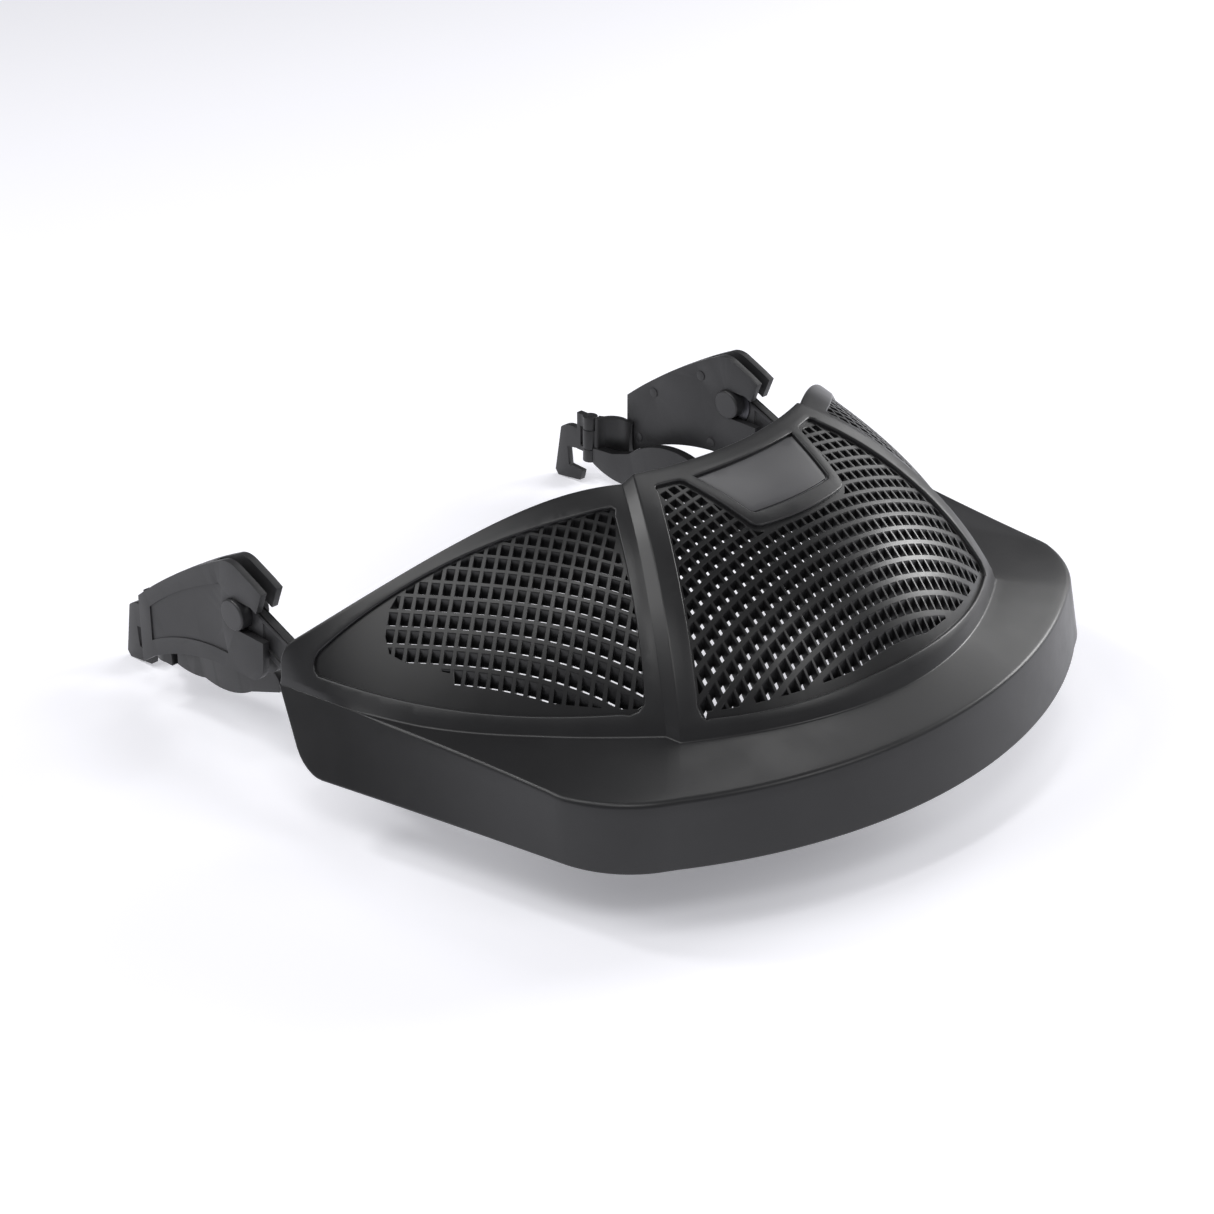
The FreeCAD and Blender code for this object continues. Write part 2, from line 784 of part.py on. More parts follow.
CLIP_OUTLINE = (
    (110.4, -1.6),
    [
        ((115.0, -0.4), (120.4, -2.6)),
        (123.5, -21.2),
        (122.0, -23.0),
        (110.2, -21.4),
        (109.2, -17.4),
        (116.2, -17.0),
        (117.0, -9.6),
        (110.4, -8.6),
        (110.4, -1.6),
    ],
)
# the strap that joins the hook to its knuckles, as (Y, Z) limits
STRAP_FRONT = 110.0
STRAP_REAR = 111.9
STRAP_LOW = -9.0
KNUCKLE_ARM_FRONT = 108.2


def spring_clip():
    """Hook that catches behind the helmet's slot, on two knuckles of the hinge."""
    inner = size("hinge_side") - size("clip_plate") / 2
    pieces = []
    bore = size("hinge_pin_radius") + size("hinge_clearance")
    for low in (BARREL_LOW, BARREL_HIGH - KNUCKLE):
        high = low + KNUCKLE
        knuckle = hinge_cylinder(size("hinge_radius"), low, high)
        pieces.append(knuckle.cut(hinge_cylinder(bore, low, high)))
        arm_low = max(low, STRAP_LOW)
        arm_length = STRAP_REAR - KNUCKLE_ARM_FRONT
        corner = Vector(inner, KNUCKLE_ARM_FRONT, arm_low)
        pieces.append(Part.makeBox(size("clip_plate"), arm_length, high - arm_low, corner))
    corner = Vector(inner, STRAP_FRONT, STRAP_LOW)
    strap_height = BARREL_HIGH - STRAP_LOW
    pieces.append(
        Part.makeBox(size("clip_plate"), STRAP_REAR - STRAP_FRONT, strap_height, corner)
    )
    return prism(*CLIP_OUTLINE, inner, size("clip_plate"), axis="X").fuse(pieces)


def clip_pin():
    return hinge_cylinder(size("hinge_pin_radius"), BARREL_LOW, BARREL_HIGH)


# ------------------------------------------------------------------ build and write


def for_side(shape, side):
    return shape if side == LEFT else mirrored(shape)


keep_shape(carrier_shell(), "carrier_shell")
keep_shape(centre_grille(), "centre_grille")
keep_shape(badge_plate(), "badge_plate")
keep_shape(visor_studs(), "visor_studs")
for word, side in SIDES:
    keep_shape(for_side(side_grille(), side), "side_grille_" + word)
    link_arm("link_arm_" + word, side)
    pivot_pin("pivot_pin_" + word, side)
    spring_washer("spring_washer_" + word, side)
    arm_rivets("arm_rivets_" + word, side)
    outer_cover("outer_cover_" + word, side)
    inner_plate("inner_plate_" + word, side)
    stake_posts("stake_posts_" + word, side)
    keep_shape(for_side(slot_tongue(), side), "slot_tongue_" + word)
    keep_shape(for_side(spring_clip(), side), "spring_clip_" + word)
    keep_shape(for_side(clip_pin(), side), "clip_pin_" + word)
document.recompute()

for item in document.Objects:
    if "Invalid" in item.State or "Error" in item.State:
        raise RuntimeError("%s failed: %s" % (item.Label, item.State))
for piece in NODES:
    if piece.Shape.isNull() or not piece.Shape.isValid():
        raise RuntimeError(piece.Label + " has no valid shape")

os.makedirs("parts", exist_ok=True)
for piece in NODES:
    piece.Shape.exportStep("parts/%s.step" % piece.Label)
    box = piece.Shape.optimalBoundingBox()
    print(
        "%-22s solids %d  volume %8.0f  X %7.1f %7.1f  Y %7.1f %7.1f  Z %6.1f %6.1f"
        % (
            piece.Label,
            len(piece.Shape.Solids),
            piece.Shape.Volume,
            box.XMin,
            box.XMax,
            box.YMin,
            box.YMax,
            box.ZMin,
            box.ZMax,
        )
    )
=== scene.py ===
import json
import math

import bmesh
import bpy
import numpy as np
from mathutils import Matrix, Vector
from mathutils.geometry import delaunay_2d_cdt


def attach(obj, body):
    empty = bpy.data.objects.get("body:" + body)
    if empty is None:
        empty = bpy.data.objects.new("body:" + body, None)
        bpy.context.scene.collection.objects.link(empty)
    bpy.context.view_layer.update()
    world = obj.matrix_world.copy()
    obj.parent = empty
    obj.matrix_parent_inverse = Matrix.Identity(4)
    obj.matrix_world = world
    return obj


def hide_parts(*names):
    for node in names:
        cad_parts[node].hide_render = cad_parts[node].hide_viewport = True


# Looks of the vented visor carrier. Shapes are drawn in millimetres from the plane of the
# skirt's lower rim, as the CAD part draws them, and moved to the row frame in metres.

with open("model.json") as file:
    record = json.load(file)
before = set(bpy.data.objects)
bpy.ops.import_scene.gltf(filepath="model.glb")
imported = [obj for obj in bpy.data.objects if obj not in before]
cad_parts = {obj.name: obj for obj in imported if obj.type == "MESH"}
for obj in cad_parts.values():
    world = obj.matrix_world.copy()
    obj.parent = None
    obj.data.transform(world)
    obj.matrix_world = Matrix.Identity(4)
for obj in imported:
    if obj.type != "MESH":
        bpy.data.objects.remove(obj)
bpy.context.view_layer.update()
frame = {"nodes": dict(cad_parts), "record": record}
nodes = frame["nodes"]

MM = 0.001
RIM_TO_ROW = np.array([0.0, 13.5, 23.0])
LEFT = 1
RIGHT = -1
SIDES = [("left", LEFT), ("right", RIGHT)]
# points of one skin that are closer than this are joined
WELD = 0.02


# ------------------------------------------------------------------ crown surfaces

# An upright section of the crown: its top, its foot and the arc's height over its chord.
RIDGE = ((37.1, -50.6, 80.6), (72.5, -105.0, 26.3), 8.4)
MIDDLE = ((0.0, -57.0, 80.6), (0.0, -129.8, 26.3), 10.5)
SIDE_SECTIONS = [
    ((40.0, -49.0, 77.8), (73.5, -100.0, 26.0), 8.4),
    ((60.0, -36.0, 74.2), (93.1, -76.3, 24.3), 5.5),
    ((81.2, -22.0, 63.8), (108.0, -52.0, 22.3), 2.6),
    ((104.0, -6.0, 48.5), (119.7, -23.0, 20.5), 0.8),
    ((125.2, 10.2, 32.0), (126.4, 9.4, 20.5), 0.15),
]


def flip(points):
    """Mirror image about the middle plane."""
    return points * np.array([-1.0, 1.0, 1.0])


def section(top, foot, bulge, v):
    """Points of an upright arc, from its foot at v = 0 to its top at v = 1."""
    top, foot = np.array(top), np.array(foot)
    chord = top - foot
    length = np.linalg.norm(chord)
    along = chord / length
    run = foot - top
    run[2] = 0.0
    reach = np.linalg.norm(run)
    outward = run / reach * (chord[2] / length)
    outward[2] = reach / length
    radius = length ** 2 / (8 * bulge) + bulge / 2
    centre = (top + foot) / 2 - outward * (radius - bulge)
    angle = (2 * np.asarray(v) - 1) * math.asin(length / (2 * radius))
    return centre + radius * (
        np.cos(angle)[:, None] * outward + np.sin(angle)[:, None] * along
    )


def through_sections(stations, sections, place, v):
    """Surface that passes through the sections, at the stations given for them."""
    total = np.zeros((len(place), 3))
    for index, points in enumerate(sections):
        weight = np.ones(len(place))
        for other, station in enumerate(stations):
            if other != index:
                weight = weight * (place - station) / (stations[index] - station)
        total += weight[:, None] * points(v)
    return total


def centre_surface(u, v):
    """Crown between the ridges, from u = -1 at the right ridge to 1 at the left one."""
    sections = [
        lambda v: flip(section(*RIDGE, v)),
        lambda v: section(*MIDDLE, v),
        lambda v: section(*RIDGE, v),
    ]
    return through_sections([-1.0, 0.0, 1.0], sections, u, v)


def side_surface(w, v):
    """Left side of the crown, from w = 0 beside the ridge to 1 at the rear corner."""
    sections = [lambda v, item=item: section(*item, v) for item in SIDE_SECTIONS]
    return through_sections([0.0, 0.25, 0.5, 0.75, 1.0], sections, w, v)


# step of a surface's parameters for its slopes
STEP = 1e-3
SEARCH_COLUMNS = 41
SEARCH_ROWS = 21
SEARCH_ROUNDS = 12


def slopes(surface, a, b):
    """Derivatives of a surface and its outward normal."""
    along_a = (surface(a + STEP, b) - surface(a - STEP, b)) / (2 * STEP)
    along_b = (surface(a, b + STEP) - surface(a, b - STEP)) / (2 * STEP)
    normal = np.cross(along_a, along_b)
    normal /= np.linalg.norm(normal, axis=1)[:, None]
    return along_a, along_b, normal


def sunk(surface, a, b, depth):
    """Points at a depth under a surface."""
    return surface(a, b) - depth * slopes(surface, a, b)[2]


def params_of(surface, domain, targets, axes, depth):
    """Parameters of the points under a surface that have the given two coordinates."""
    (a_low, a_high), (b_low, b_high) = domain
    grid_a, grid_b = np.meshgrid(
        np.linspace(a_low, a_high, SEARCH_COLUMNS), np.linspace(b_low, b_high, SEARCH_ROWS)
    )
    grid_a, grid_b = grid_a.ravel(), grid_b.ravel()
    places = sunk(surface, grid_a, grid_b, depth)[:, axes]
    nearest = np.array([np.argmin(((places - t) ** 2).sum(axis=1)) for t in targets])
    a, b = grid_a[nearest], grid_b[nearest]
    for _ in range(SEARCH_ROUNDS):
        here = sunk(surface, a, b, depth)[:, axes]
        by_a = (sunk(surface, a + STEP, b, depth)[:, axes] - here) / STEP
        by_b = (sunk(surface, a, b + STEP, depth)[:, axes] - here) / STEP
        miss = targets - here
        scale = by_a[:, 0] * by_b[:, 1] - by_a[:, 1] * by_b[:, 0]
        a = a + (miss[:, 0] * by_b[:, 1] - miss[:, 1] * by_b[:, 0]) / scale
        b = b + (by_a[:, 0] * miss[:, 1] - by_a[:, 1] * miss[:, 0]) / scale
    return a, b


CENTRE_DOMAIN = ((-1.0, 1.0), (0.0, 1.0))
SIDE_DOMAIN = ((0.0, 1.0), (0.0, 1.0))
PLAN = [0, 1]
PROFILE = [1, 2]


# ------------------------------------------------------------------ outlines

# A step of an outline is its next corner, or (middle, end) of an arc.
CENTRE_WINDOW = (
    (33.6, -57.9),
    [
        ((34.9, -57.9), (35.6, -59.6)),
        (63.9, -103.2),
        ((65.0, -106.0), (62.8, -107.9)),
        ((0.0, -126.2), (-62.8, -107.9)),
        ((-65.0, -106.0), (-63.9, -103.2)),
        (-35.6, -59.6),
        ((-34.9, -57.9), (-33.6, -57.9)),
        (-28.0, -59.6),
        ((-26.3, -60.6), (-25.6, -62.8)),
        (-21.0, -81.8),
        ((-19.6, -84.6), (-16.4, -86.0)),
        ((0.0, -87.8), (16.4, -86.0)),
        ((19.6, -84.6), (21.0, -81.8)),
        (25.6, -62.8),
        ((26.3, -60.6), (28.0, -59.6)),
        (33.6, -57.9),
    ],
)
BADGE_WINDOW = (
    (22.0, -61.4),
    [
        (17.9, -78.8),
        ((17.0, -80.9), (14.8, -81.6)),
        ((0.0, -82.9), (-14.8, -81.6)),
        ((-17.0, -80.9), (-17.9, -78.8)),
        (-22.0, -61.4),
        ((0.0, -63.2), (22.0, -61.4)),
    ],
)
# drawn as (Y, Z), seen from the side
SIDE_WINDOW = (
    (-2.4, 26.6),
    [
        ((-45.0, 26.9), (-88.4, 31.2)),
        ((-91.6, 32.0), (-91.5, 35.2)),
        ((-75.4, 58.0), (-55.6, 72.9)),
        ((-53.4, 74.2), (-50.6, 74.0)),
        ((-30.0, 64.2), (-0.9, 34.4)),
        ((0.4, 30.0), (-2.4, 26.6)),
    ],
)


def arc_frame(start, middle, end):
    """Centre, radius, first angle and signed sweep of the arc through three points."""
    (ax, ay), (bx, by), (cx, cy) = start, middle, end
    turn = 2 * (ax * (by - cy) + bx * (cy - ay) + cx * (ay - by))
    squares = [x * x + y * y for x, y in (start, middle, end)]
    centre_x = (squares[0] * (by - cy) + squares[1] * (cy - ay) + squares[2] * (ay - by)) / turn
    centre_y = (squares[0] * (cx - bx) + squares[1] * (ax - cx) + squares[2] * (bx - ax)) / turn
    radius = math.hypot(ax - centre_x, ay - centre_y)
    first, half, last = (
        math.atan2(y - centre_y, x - centre_x) for x, y in (start, middle, end)
    )
    full = 2 * math.pi
    sweep = (last - first) % full
    if (half - first) % full > sweep:
        sweep -= full
    return centre_x, centre_y, radius, first, sweep


def arc_through(start, middle, end, spacing):
    """Points of the arc through three points, without its first one."""
    centre_x, centre_y, radius, first, sweep = arc_frame(start, middle, end)
    count = max(3, round(abs(sweep) * radius / spacing))
    angles = first + sweep * np.arange(1, count + 1) / count
    return [(centre_x + radius * math.cos(t), centre_y + radius * math.sin(t)) for t in angles]


def point_on_arc(start, middle, end, share):
    """Point of the arc through three points, at a share of its angle."""
    centre_x, centre_y, radius, first, sweep = arc_frame(start, middle, end)
    angle = first + sweep * share
    return (centre_x + radius * math.cos(angle), centre_y + radius * math.sin(angle))


def sample_outline(start, steps, spacing=1.8):
    """Evenly spaced points of a closed outline, as an (n, 2) array."""
    points = [start]
    for step in steps:
        here = points[-1]
        if isinstance(step[0], tuple):
            points += arc_through(here, *step, spacing)
        else:
            count = max(1, round(math.dist(here, step) / spacing))
            points += [
                (here[0] + (step[0] - here[0]) * k / count, here[1] + (step[1] - here[1]) * k / count)
                for k in range(1, count + 1)
            ]
    points = np.array(points)
    if np.linalg.norm(points[0] - points[-1]) < WELD:
        points = points[:-1]
    return points


# least divisor of a mitre, which keeps sharp corners short
MITRE_LIMIT = 0.6


def grown(points, distance):
    """Closed outline moved outwards, with mitred corners."""
    before = points - np.roll(points, 1, axis=0)
    after = np.roll(points, -1, axis=0) - points
    before /= np.linalg.norm(before, axis=1)[:, None]
    after /= np.linalg.norm(after, axis=1)[:, None]
    turn = np.sign(area_of(points))
    normal_before = np.column_stack([before[:, 1], -before[:, 0]]) * turn
    normal_after = np.column_stack([after[:, 1], -after[:, 0]]) * turn
    mitre = normal_before + normal_after
    scale = np.maximum((mitre ** 2).sum(axis=1) / 2, MITRE_LIMIT)
    return points + mitre * (distance / scale)[:, None]


def area_of(polygon):
    """Area of a polygon, above 0 when it runs counterclockwise."""
    x, y = np.asarray(polygon).T
    return 0.5 * np.sum(x * np.roll(y, -1) - np.roll(x, -1) * y)


# ------------------------------------------------------------------ mesh helpers


class Patchwork:
    """Vertices and faces gathered from several patches of one skin."""

    def __init__(self):
        self.points = []
        self.faces = []

    def add(self, points, faces):
        """Add points, and faces that count from the first of them."""
        offset = len(self.points)
        self.points.extend(np.asarray(points, float).tolist())
        self.faces.extend([[offset + i for i in face] for face in faces])

    def add_rows(self, rows, closed=False):
        """Quads between rows of points that have the same count."""
        count = len(rows[0])
        faces = []
        for row in range(len(rows) - 1):
            for column in range(count if closed else count - 1):
                following = (column + 1) % count
                low = row * count
                high = low + count
                faces.append([low + column, low + following, high + following, high + column])
        self.add(np.concatenate(rows), faces)

    def unwelded(self, name):
        """All points and faces as one bmesh in millimetres."""
        data = bpy.data.meshes.new(name)
        data.from_pydata(self.points, [], self.faces)
        work = bmesh.new()
        work.from_mesh(data)
        bpy.data.meshes.remove(data)
        return work

    def mesh(self, name):
        """Welded bmesh in millimetres."""
        work = self.unwelded(name)
        bmesh.ops.remove_doubles(work, verts=work.verts, dist=WELD)
        bmesh.ops.dissolve_degenerate(work, edges=work.edges, dist=WELD / 2)
        bmesh.ops.recalc_face_normals(work, faces=work.faces)
        return work


# output of only the triangles that lie inside the borders
CDT_INSIDE = 1
CDT_TOLERANCE = 1e-5


def triangulate(outer, holes, inner_points):
    """Triangles of a plane outline with holes, as (points, faces)."""
    loops = [loop if area_of(loop) > 0 else loop[::-1] for loop in [outer] + holes]
    coords = np.concatenate(loops + ([inner_points] if len(inner_points) else []))
    borders = []
    start = 0
    for loop in loops:
        borders.append(list(range(start, start + len(loop))))
        start += len(loop)
    vectors = [Vector(point) for point in coords.tolist()]
    result = delaunay_2d_cdt(vectors, [], borders, CDT_INSIDE, CDT_TOLERANCE)
    points, triangles, origins = result[0], result[2], result[5]
    kept = [
        list(face)
        for face, origin in zip(triangles, origins)
        if 0 in origin and not any(item > 0 for item in origin)
    ]
    return np.array([tuple(point) for point in points]), kept


# height of an even-sided triangle over its side
STAGGER = 0.87


def grid_inside(loops, spacing, clearance):
    """Staggered grid over the first loop's box that keeps clear of all the loops' points."""
    low, high = loops[0].min(axis=0), loops[0].max(axis=0)
    rows = np.arange(low[1], high[1], spacing * STAGGER)
    points = []
    for index, y in enumerate(rows):
        shift = spacing / 2 * (index % 2)
        points += [(x + shift, y) for x in np.arange(low[0], high[0], spacing)]
    points = np.array(points)
    edge = np.concatenate(loops)
    keep = [((edge - point) ** 2).sum(axis=1).min() > clearance ** 2 for point in points]
    return points[np.array(keep)]


# least tangent of half a corner's angle, for corners that fold back
LEAST_TANGENT = 0.05
# share of a leg that one rounding may take
LONGEST_CUT = 0.46


def rounded(line, radii, steps=5):
    """Lines of corner points with their inner corners rounded. All items are (n, 3) arrays."""
    result = [line[0]]
    for index in range(1, len(line) - 1):
        corner = line[index]
        back = line[index - 1] - corner
        ahead = line[index + 1] - corner
        back_length = np.linalg.norm(back, axis=1)[:, None]
        ahead_length = np.linalg.norm(ahead, axis=1)[:, None]
        back_unit = back / np.maximum(back_length, 1e-6)
        ahead_unit = ahead / np.maximum(ahead_length, 1e-6)
        cosine = np.clip((back_unit * ahead_unit).sum(axis=1), -1, 1)[:, None]
        half = np.arccos(cosine) / 2
        cut = radii[index - 1] / np.maximum(np.tan(half), LEAST_TANGENT)
        cut = np.minimum(cut, LONGEST_CUT * np.minimum(back_length, ahead_length))
        first, last = corner + back_unit * cut, corner + ahead_unit * cut
        for t in np.linspace(0, 1, steps + 1):
            result.append(first * (1 - t) ** 2 + corner * 2 * t * (1 - t) + last * t ** 2)
    result.append(line[-1])
    return result


LIP_STEPS = 4
LIP_MITRE_LIMIT = 0.7
# radius of the lip's inner edge, as a share of the lip, and how much of it one chamfer cuts
INNER_LIP = 0.6
INNER_CUT = 0.3


def open_edges(work):
    """Tables of the vertices after and before each vertex of a skin's open edges."""
    ahead, behind = {}, {}
    for face in work.faces:
        for loop in face.loops:
            if loop.edge.is_boundary:
                start, end = loop.vert.index, loop.link_loop_next.vert.index
                ahead[start] = end
                behind[end] = start
    return ahead, behind


def unit_rows(rows):
    """Each row scaled to a length of 1."""
    return rows / np.linalg.norm(rows, axis=1)[:, None]


def thicken(work, thickness, lip):
    """Give an open skin its wall, with a rounded lip round every open edge."""
    work.normal_update()
    work.verts.ensure_lookup_table()
    work.verts.index_update()
    outer = np.array([vert.co[:] for vert in work.verts])
    normal = np.array([vert.normal[:] for vert in work.verts])
    faces = [[vert.index for vert in face.verts] for face in work.faces]
    ahead, behind = open_edges(work)
    work.free()

    edge = sorted(ahead)
    here, up = outer[edge], normal[edge]
    along_next = unit_rows(outer[[ahead[i] for i in edge]] - here)
    along_last = unit_rows(here - outer[[behind[i] for i in edge]])
    side = np.cross(along_next, up) + np.cross(along_last, up)
    side /= np.maximum((side ** 2).sum(axis=1) / 2, LIP_MITRE_LIMIT)[:, None]

    rings = []
    for angle in np.linspace(0, math.pi / 2, LIP_STEPS + 1)[1:]:
        rings.append(here + lip * math.sin(angle) * side - lip * (1 - math.cos(angle)) * up)
    below = lip * INNER_LIP
    cut = INNER_CUT * below
    rings.append(here + lip * side - (thickness - below) * up)
    rings.append(here + (lip - cut) * side - (thickness - cut) * up)
    inner = outer - thickness * normal
    inner[edge] = here + (lip - below) * side - thickness * up

    patch = Patchwork()
    patch.add(outer, faces)
    patch.add(inner, [face[::-1] for face in faces])
    ring_start = len(patch.points)
    patch.add(np.concatenate(rings), [])
    place = {vert: number for number, vert in enumerate(edge)}
    for vert in edge:
        near, far = (
            [item] + [ring_start + level * len(edge) + place[item] for level in range(len(rings))]
            + [len(outer) + item]
            for item in (vert, ahead[vert])
        )
        for level in range(len(rings) + 1):
            patch.faces.append([far[level], near[level], near[level + 1], far[level + 1]])
    return patch.unwelded("thick")


def to_object(work, name, material, sharp_angle=40.0):
    """Finished object in the row frame from a bmesh in millimetres."""
    for vert in work.verts:
        vert.co = [(vert.co[k] + RIM_TO_ROW[k]) * MM for k in range(3)]
    data = bpy.data.meshes.new(name)
    work.to_mesh(data)
    work.free()
    data.shade_smooth()
    data.set_sharp_from_angle(angle=math.radians(sharp_angle))
    data.materials.append(material)
    piece = bpy.data.objects.new(name, data)
    bpy.context.scene.collection.objects.link(piece)
    return piece


# ------------------------------------------------------------------ materials


def node_material(name):
    """New node material, with its tree, its shader and the object coordinates."""
    material = bpy.data.materials.new(name)
    material.use_nodes = True
    tree = material.node_tree
    shader = tree.nodes["Principled BSDF"]
    coordinates = tree.nodes.new("ShaderNodeTexCoord")
    return material, tree, shader, coordinates.outputs["Object"]


def noise(tree, place, scale, detail=3.0, roughness=0.5):
    """Noise value at a place, from 0 to 1."""
    texture = tree.nodes.new("ShaderNodeTexNoise")
    texture.inputs["Scale"].default_value = scale
    texture.inputs["Detail"].default_value = detail
    texture.inputs["Roughness"].default_value = roughness
    tree.links.new(place, texture.inputs["Vector"])
    return texture.outputs["Fac"]


def mapped(tree, value, low, high, out_low=0.0, out_high=1.0):
    """Value stretched from one range to another."""
    node = tree.nodes.new("ShaderNodeMapRange")
    node.inputs["From Min"].default_value = low
    node.inputs["From Max"].default_value = high
    node.inputs["To Min"].default_value = out_low
    node.inputs["To Max"].default_value = out_high
    tree.links.new(value, node.inputs["Value"])
    return node.outputs["Result"]


def colour_mix(tree, factor, first, second):
    """Colour between two others, by a factor from 0 to 1."""
    ramp = tree.nodes.new("ShaderNodeValToRGB")
    ramp.color_ramp.elements[0].color = (*first, 1)
    ramp.color_ramp.elements[1].color = (*second, 1)
    tree.links.new(factor, ramp.inputs["Fac"])
    return ramp.outputs["Color"]


COOL_GREY = (0.98, 0.98, 1.04)
DRIFT_SCALE = 18.0
DRIFT_LIGHTEST = 1.35
SMUDGE_SCALE = 42.0
GRAIN_STRENGTH = 0.5
SPECULAR = 0.5


def plastic(name, shade, rough, grain, grain_height, smudge):
    """Moulded plastic: fine grain, slow tone drift and faint polished smudges."""
    material, tree, shader, place = node_material(name)
    base = tuple(shade * part for part in COOL_GREY)
    light = tuple(DRIFT_LIGHTEST * part for part in base)
    drift = mapped(tree, noise(tree, place, DRIFT_SCALE, 4.0, 0.6), 0.35, 0.7)
    tree.links.new(colour_mix(tree, drift, base, light), shader.inputs["Base Color"])
    patches = noise(tree, place, SMUDGE_SCALE, 6.0, 0.65)
    tree.links.new(
        mapped(tree, patches, 0.3, 0.75, rough + smudge / 2, rough - smudge),
        shader.inputs["Roughness"],
    )
    bump = tree.nodes.new("ShaderNodeBump")
    bump.inputs["Strength"].default_value = GRAIN_STRENGTH
    bump.inputs["Distance"].default_value = grain_height
    tree.links.new(noise(tree, place, grain, 2.0), bump.inputs["Height"])
    tree.links.new(bump.outputs["Normal"], shader.inputs["Normal"])
    shader.inputs["Specular IOR Level"].default_value = SPECULAR
    return material


STEEL_DARK = (0.07, 0.07, 0.08)
STEEL_LIGHT = (0.11, 0.11, 0.12)


def steel(name):
    """Blackened spring steel."""
    material, tree, shader, place = node_material(name)
    drift = mapped(tree, noise(tree, place, 120.0, 4.0), 0.3, 0.7)
    tree.links.new(colour_mix(tree, drift, STEEL_DARK, STEEL_LIGHT), shader.inputs["Base Color"])
    tree.links.new(
        mapped(tree, noise(tree, place, 300.0), 0.3, 0.7, 0.3, 0.45), shader.inputs["Roughness"]
    )
    shader.inputs["Metallic"].default_value = 1.0
    return material


shell_plastic = plastic(
    "shell_plastic", shade=0.013, rough=0.36, grain=1500.0, grain_height=0.00002, smudge=0.07
)
grille_plastic = plastic(
    "grille_plastic", shade=0.008, rough=0.34, grain=1500.0, grain_height=0.00001, smudge=0.05
)
badge_plastic = plastic(
    "badge_plastic", shade=0.06, rough=0.34, grain=1200.0, grain_height=0.00001, smudge=0.05
)
bracket_plastic = plastic(
    "bracket_plastic", shade=0.02, rough=0.48, grain=2200.0, grain_height=0.00005, smudge=0.04
)
pin_plastic = plastic(
    "pin_plastic", shade=0.024, rough=0.4, grain=1500.0, grain_height=0.00001, smudge=0.04
)
clip_plastic = plastic(
    "clip_plastic", shade=0.012, rough=0.38, grain=1500.0, grain_height=0.00002, smudge=0.06
)
dark_steel = steel("dark_steel")
FINISH = {
    "moulded_shell": shell_plastic,
    "grille_plastic": grille_plastic,
    "badge_plastic": badge_plastic,
    "bracket_plastic": bracket_plastic,
    "pin_plastic": pin_plastic,
    "clip_plastic": clip_plastic,
    "steel": dark_steel,
}


# ------------------------------------------------------------------ carrier shell

WALL = 2.6
LIP = 0.55
SKIRT_HEIGHT = 20.5
# half outlines as (X, Y): two arcs of three points, which share the point between them
RIM_HALF = [(133.5, -8.2), (123.2, -52.6), (113.7, -97.0), (106.8, -112.2), (93.7, -122.6)]
RIM_FRONT = (0.0, -150.5)
EDGE_HALF = [(126.6, 10.1), (117.9, -42.0), (112.5, -95.5), (103.6, -110.6), (91.0, -120.3)]
EDGE_FRONT = (0.0, -145.5)
EDGE_ROUND = 2.2
FOOT_ROUND = 1.1
RIDGE_ROUND = 1.5
STEP_ROUND = 0.9
FOOT_STRIP = 2.6
FOOT_SHARE = 0.22
RIDGE_STRIP = 2.8
STEP_STRIP = 1.6
# where the corner arc starts and ends along a half outline
CORNER_START = 0.45
CORNER_END = 0.6


def outline_at(half, front, s):
    """Half outline as a function of s, from 0 at its rear end to 1 at the front middle."""
    mirrored_corner = (-half[-1][0], half[-1][1])
    knots = [half[0:3], half[2:5], [half[4], front, mirrored_corner]]
    spans = [0.0, CORNER_START, CORNER_END, 1.0]
    result = []
    for value in s:
        index = int(np.clip(np.searchsorted(spans, value, side="right") - 1, 0, 2))
        share = (value - spans[index]) / (spans[index + 1] - spans[index])
        if index == 2:
            share /= 2
        result.append(point_on_arc(*knots[index], share))
    return np.array(result)


def skirt_point(s, height):
    """Points of the skirt's outer face at a height over the rim."""
    rim = outline_at(RIM_HALF, RIM_FRONT, s)
    edge = outline_at(EDGE_HALF, EDGE_FRONT, s)
    share = height / SKIRT_HEIGHT
    plan = rim * (1 - share) + edge * share
    return np.column_stack([plan, np.full(len(s), height)])


REAR_ROUND = 6.0
# how much of s the corner's rounding reaches, and about how many millimetres s = 1 spans there
REAR_REACH = 0.12
SIDE_SPAN = 200.0


def rear_shift(s, height):
    """The skirt's rounded lower rear corner, as a shift of s."""
    if height >= REAR_ROUND:
        return s
    over = REAR_ROUND - math.sqrt(REAR_ROUND ** 2 - (REAR_ROUND - height) ** 2)
    share = over / SIDE_SPAN
    return np.where(s < REAR_REACH, share + s * (REAR_REACH - share) / REAR_REACH, s)


def ridge_profile(v):
    """Across the left ridge and its step, at each v: a list of (n, 3) arrays."""
    one = np.ones(len(v))
    crown_slope = slopes(centre_surface, one, v)[0]
    step_slope = slopes(side_surface, 0 * one, v)[0]
    a = 1 - RIDGE_STRIP / np.linalg.norm(crown_slope, axis=1)
    b = STEP_STRIP / np.linalg.norm(step_slope, axis=1)
    line = [
        centre_surface(a, v), centre_surface(one, v), side_surface(0 * one, v), side_surface(b, v)
    ]
    return rounded(line, [RIDGE_ROUND, STEP_ROUND]), a, b


def low_share(length):
    """Share of a section's length that belongs to the strip along the crown's foot."""
    return np.minimum(FOOT_SHARE, FOOT_STRIP / length)


def section_length(surface, a):
    """Chord of a surface's section, from foot to top."""
    foot, top = surface(a, np.zeros(len(a))), surface(a, np.ones(len(a)))
    return np.linalg.norm(top - foot, axis=1)


SIDE_COLUMNS = 56
CENTRE_COLUMNS = 36


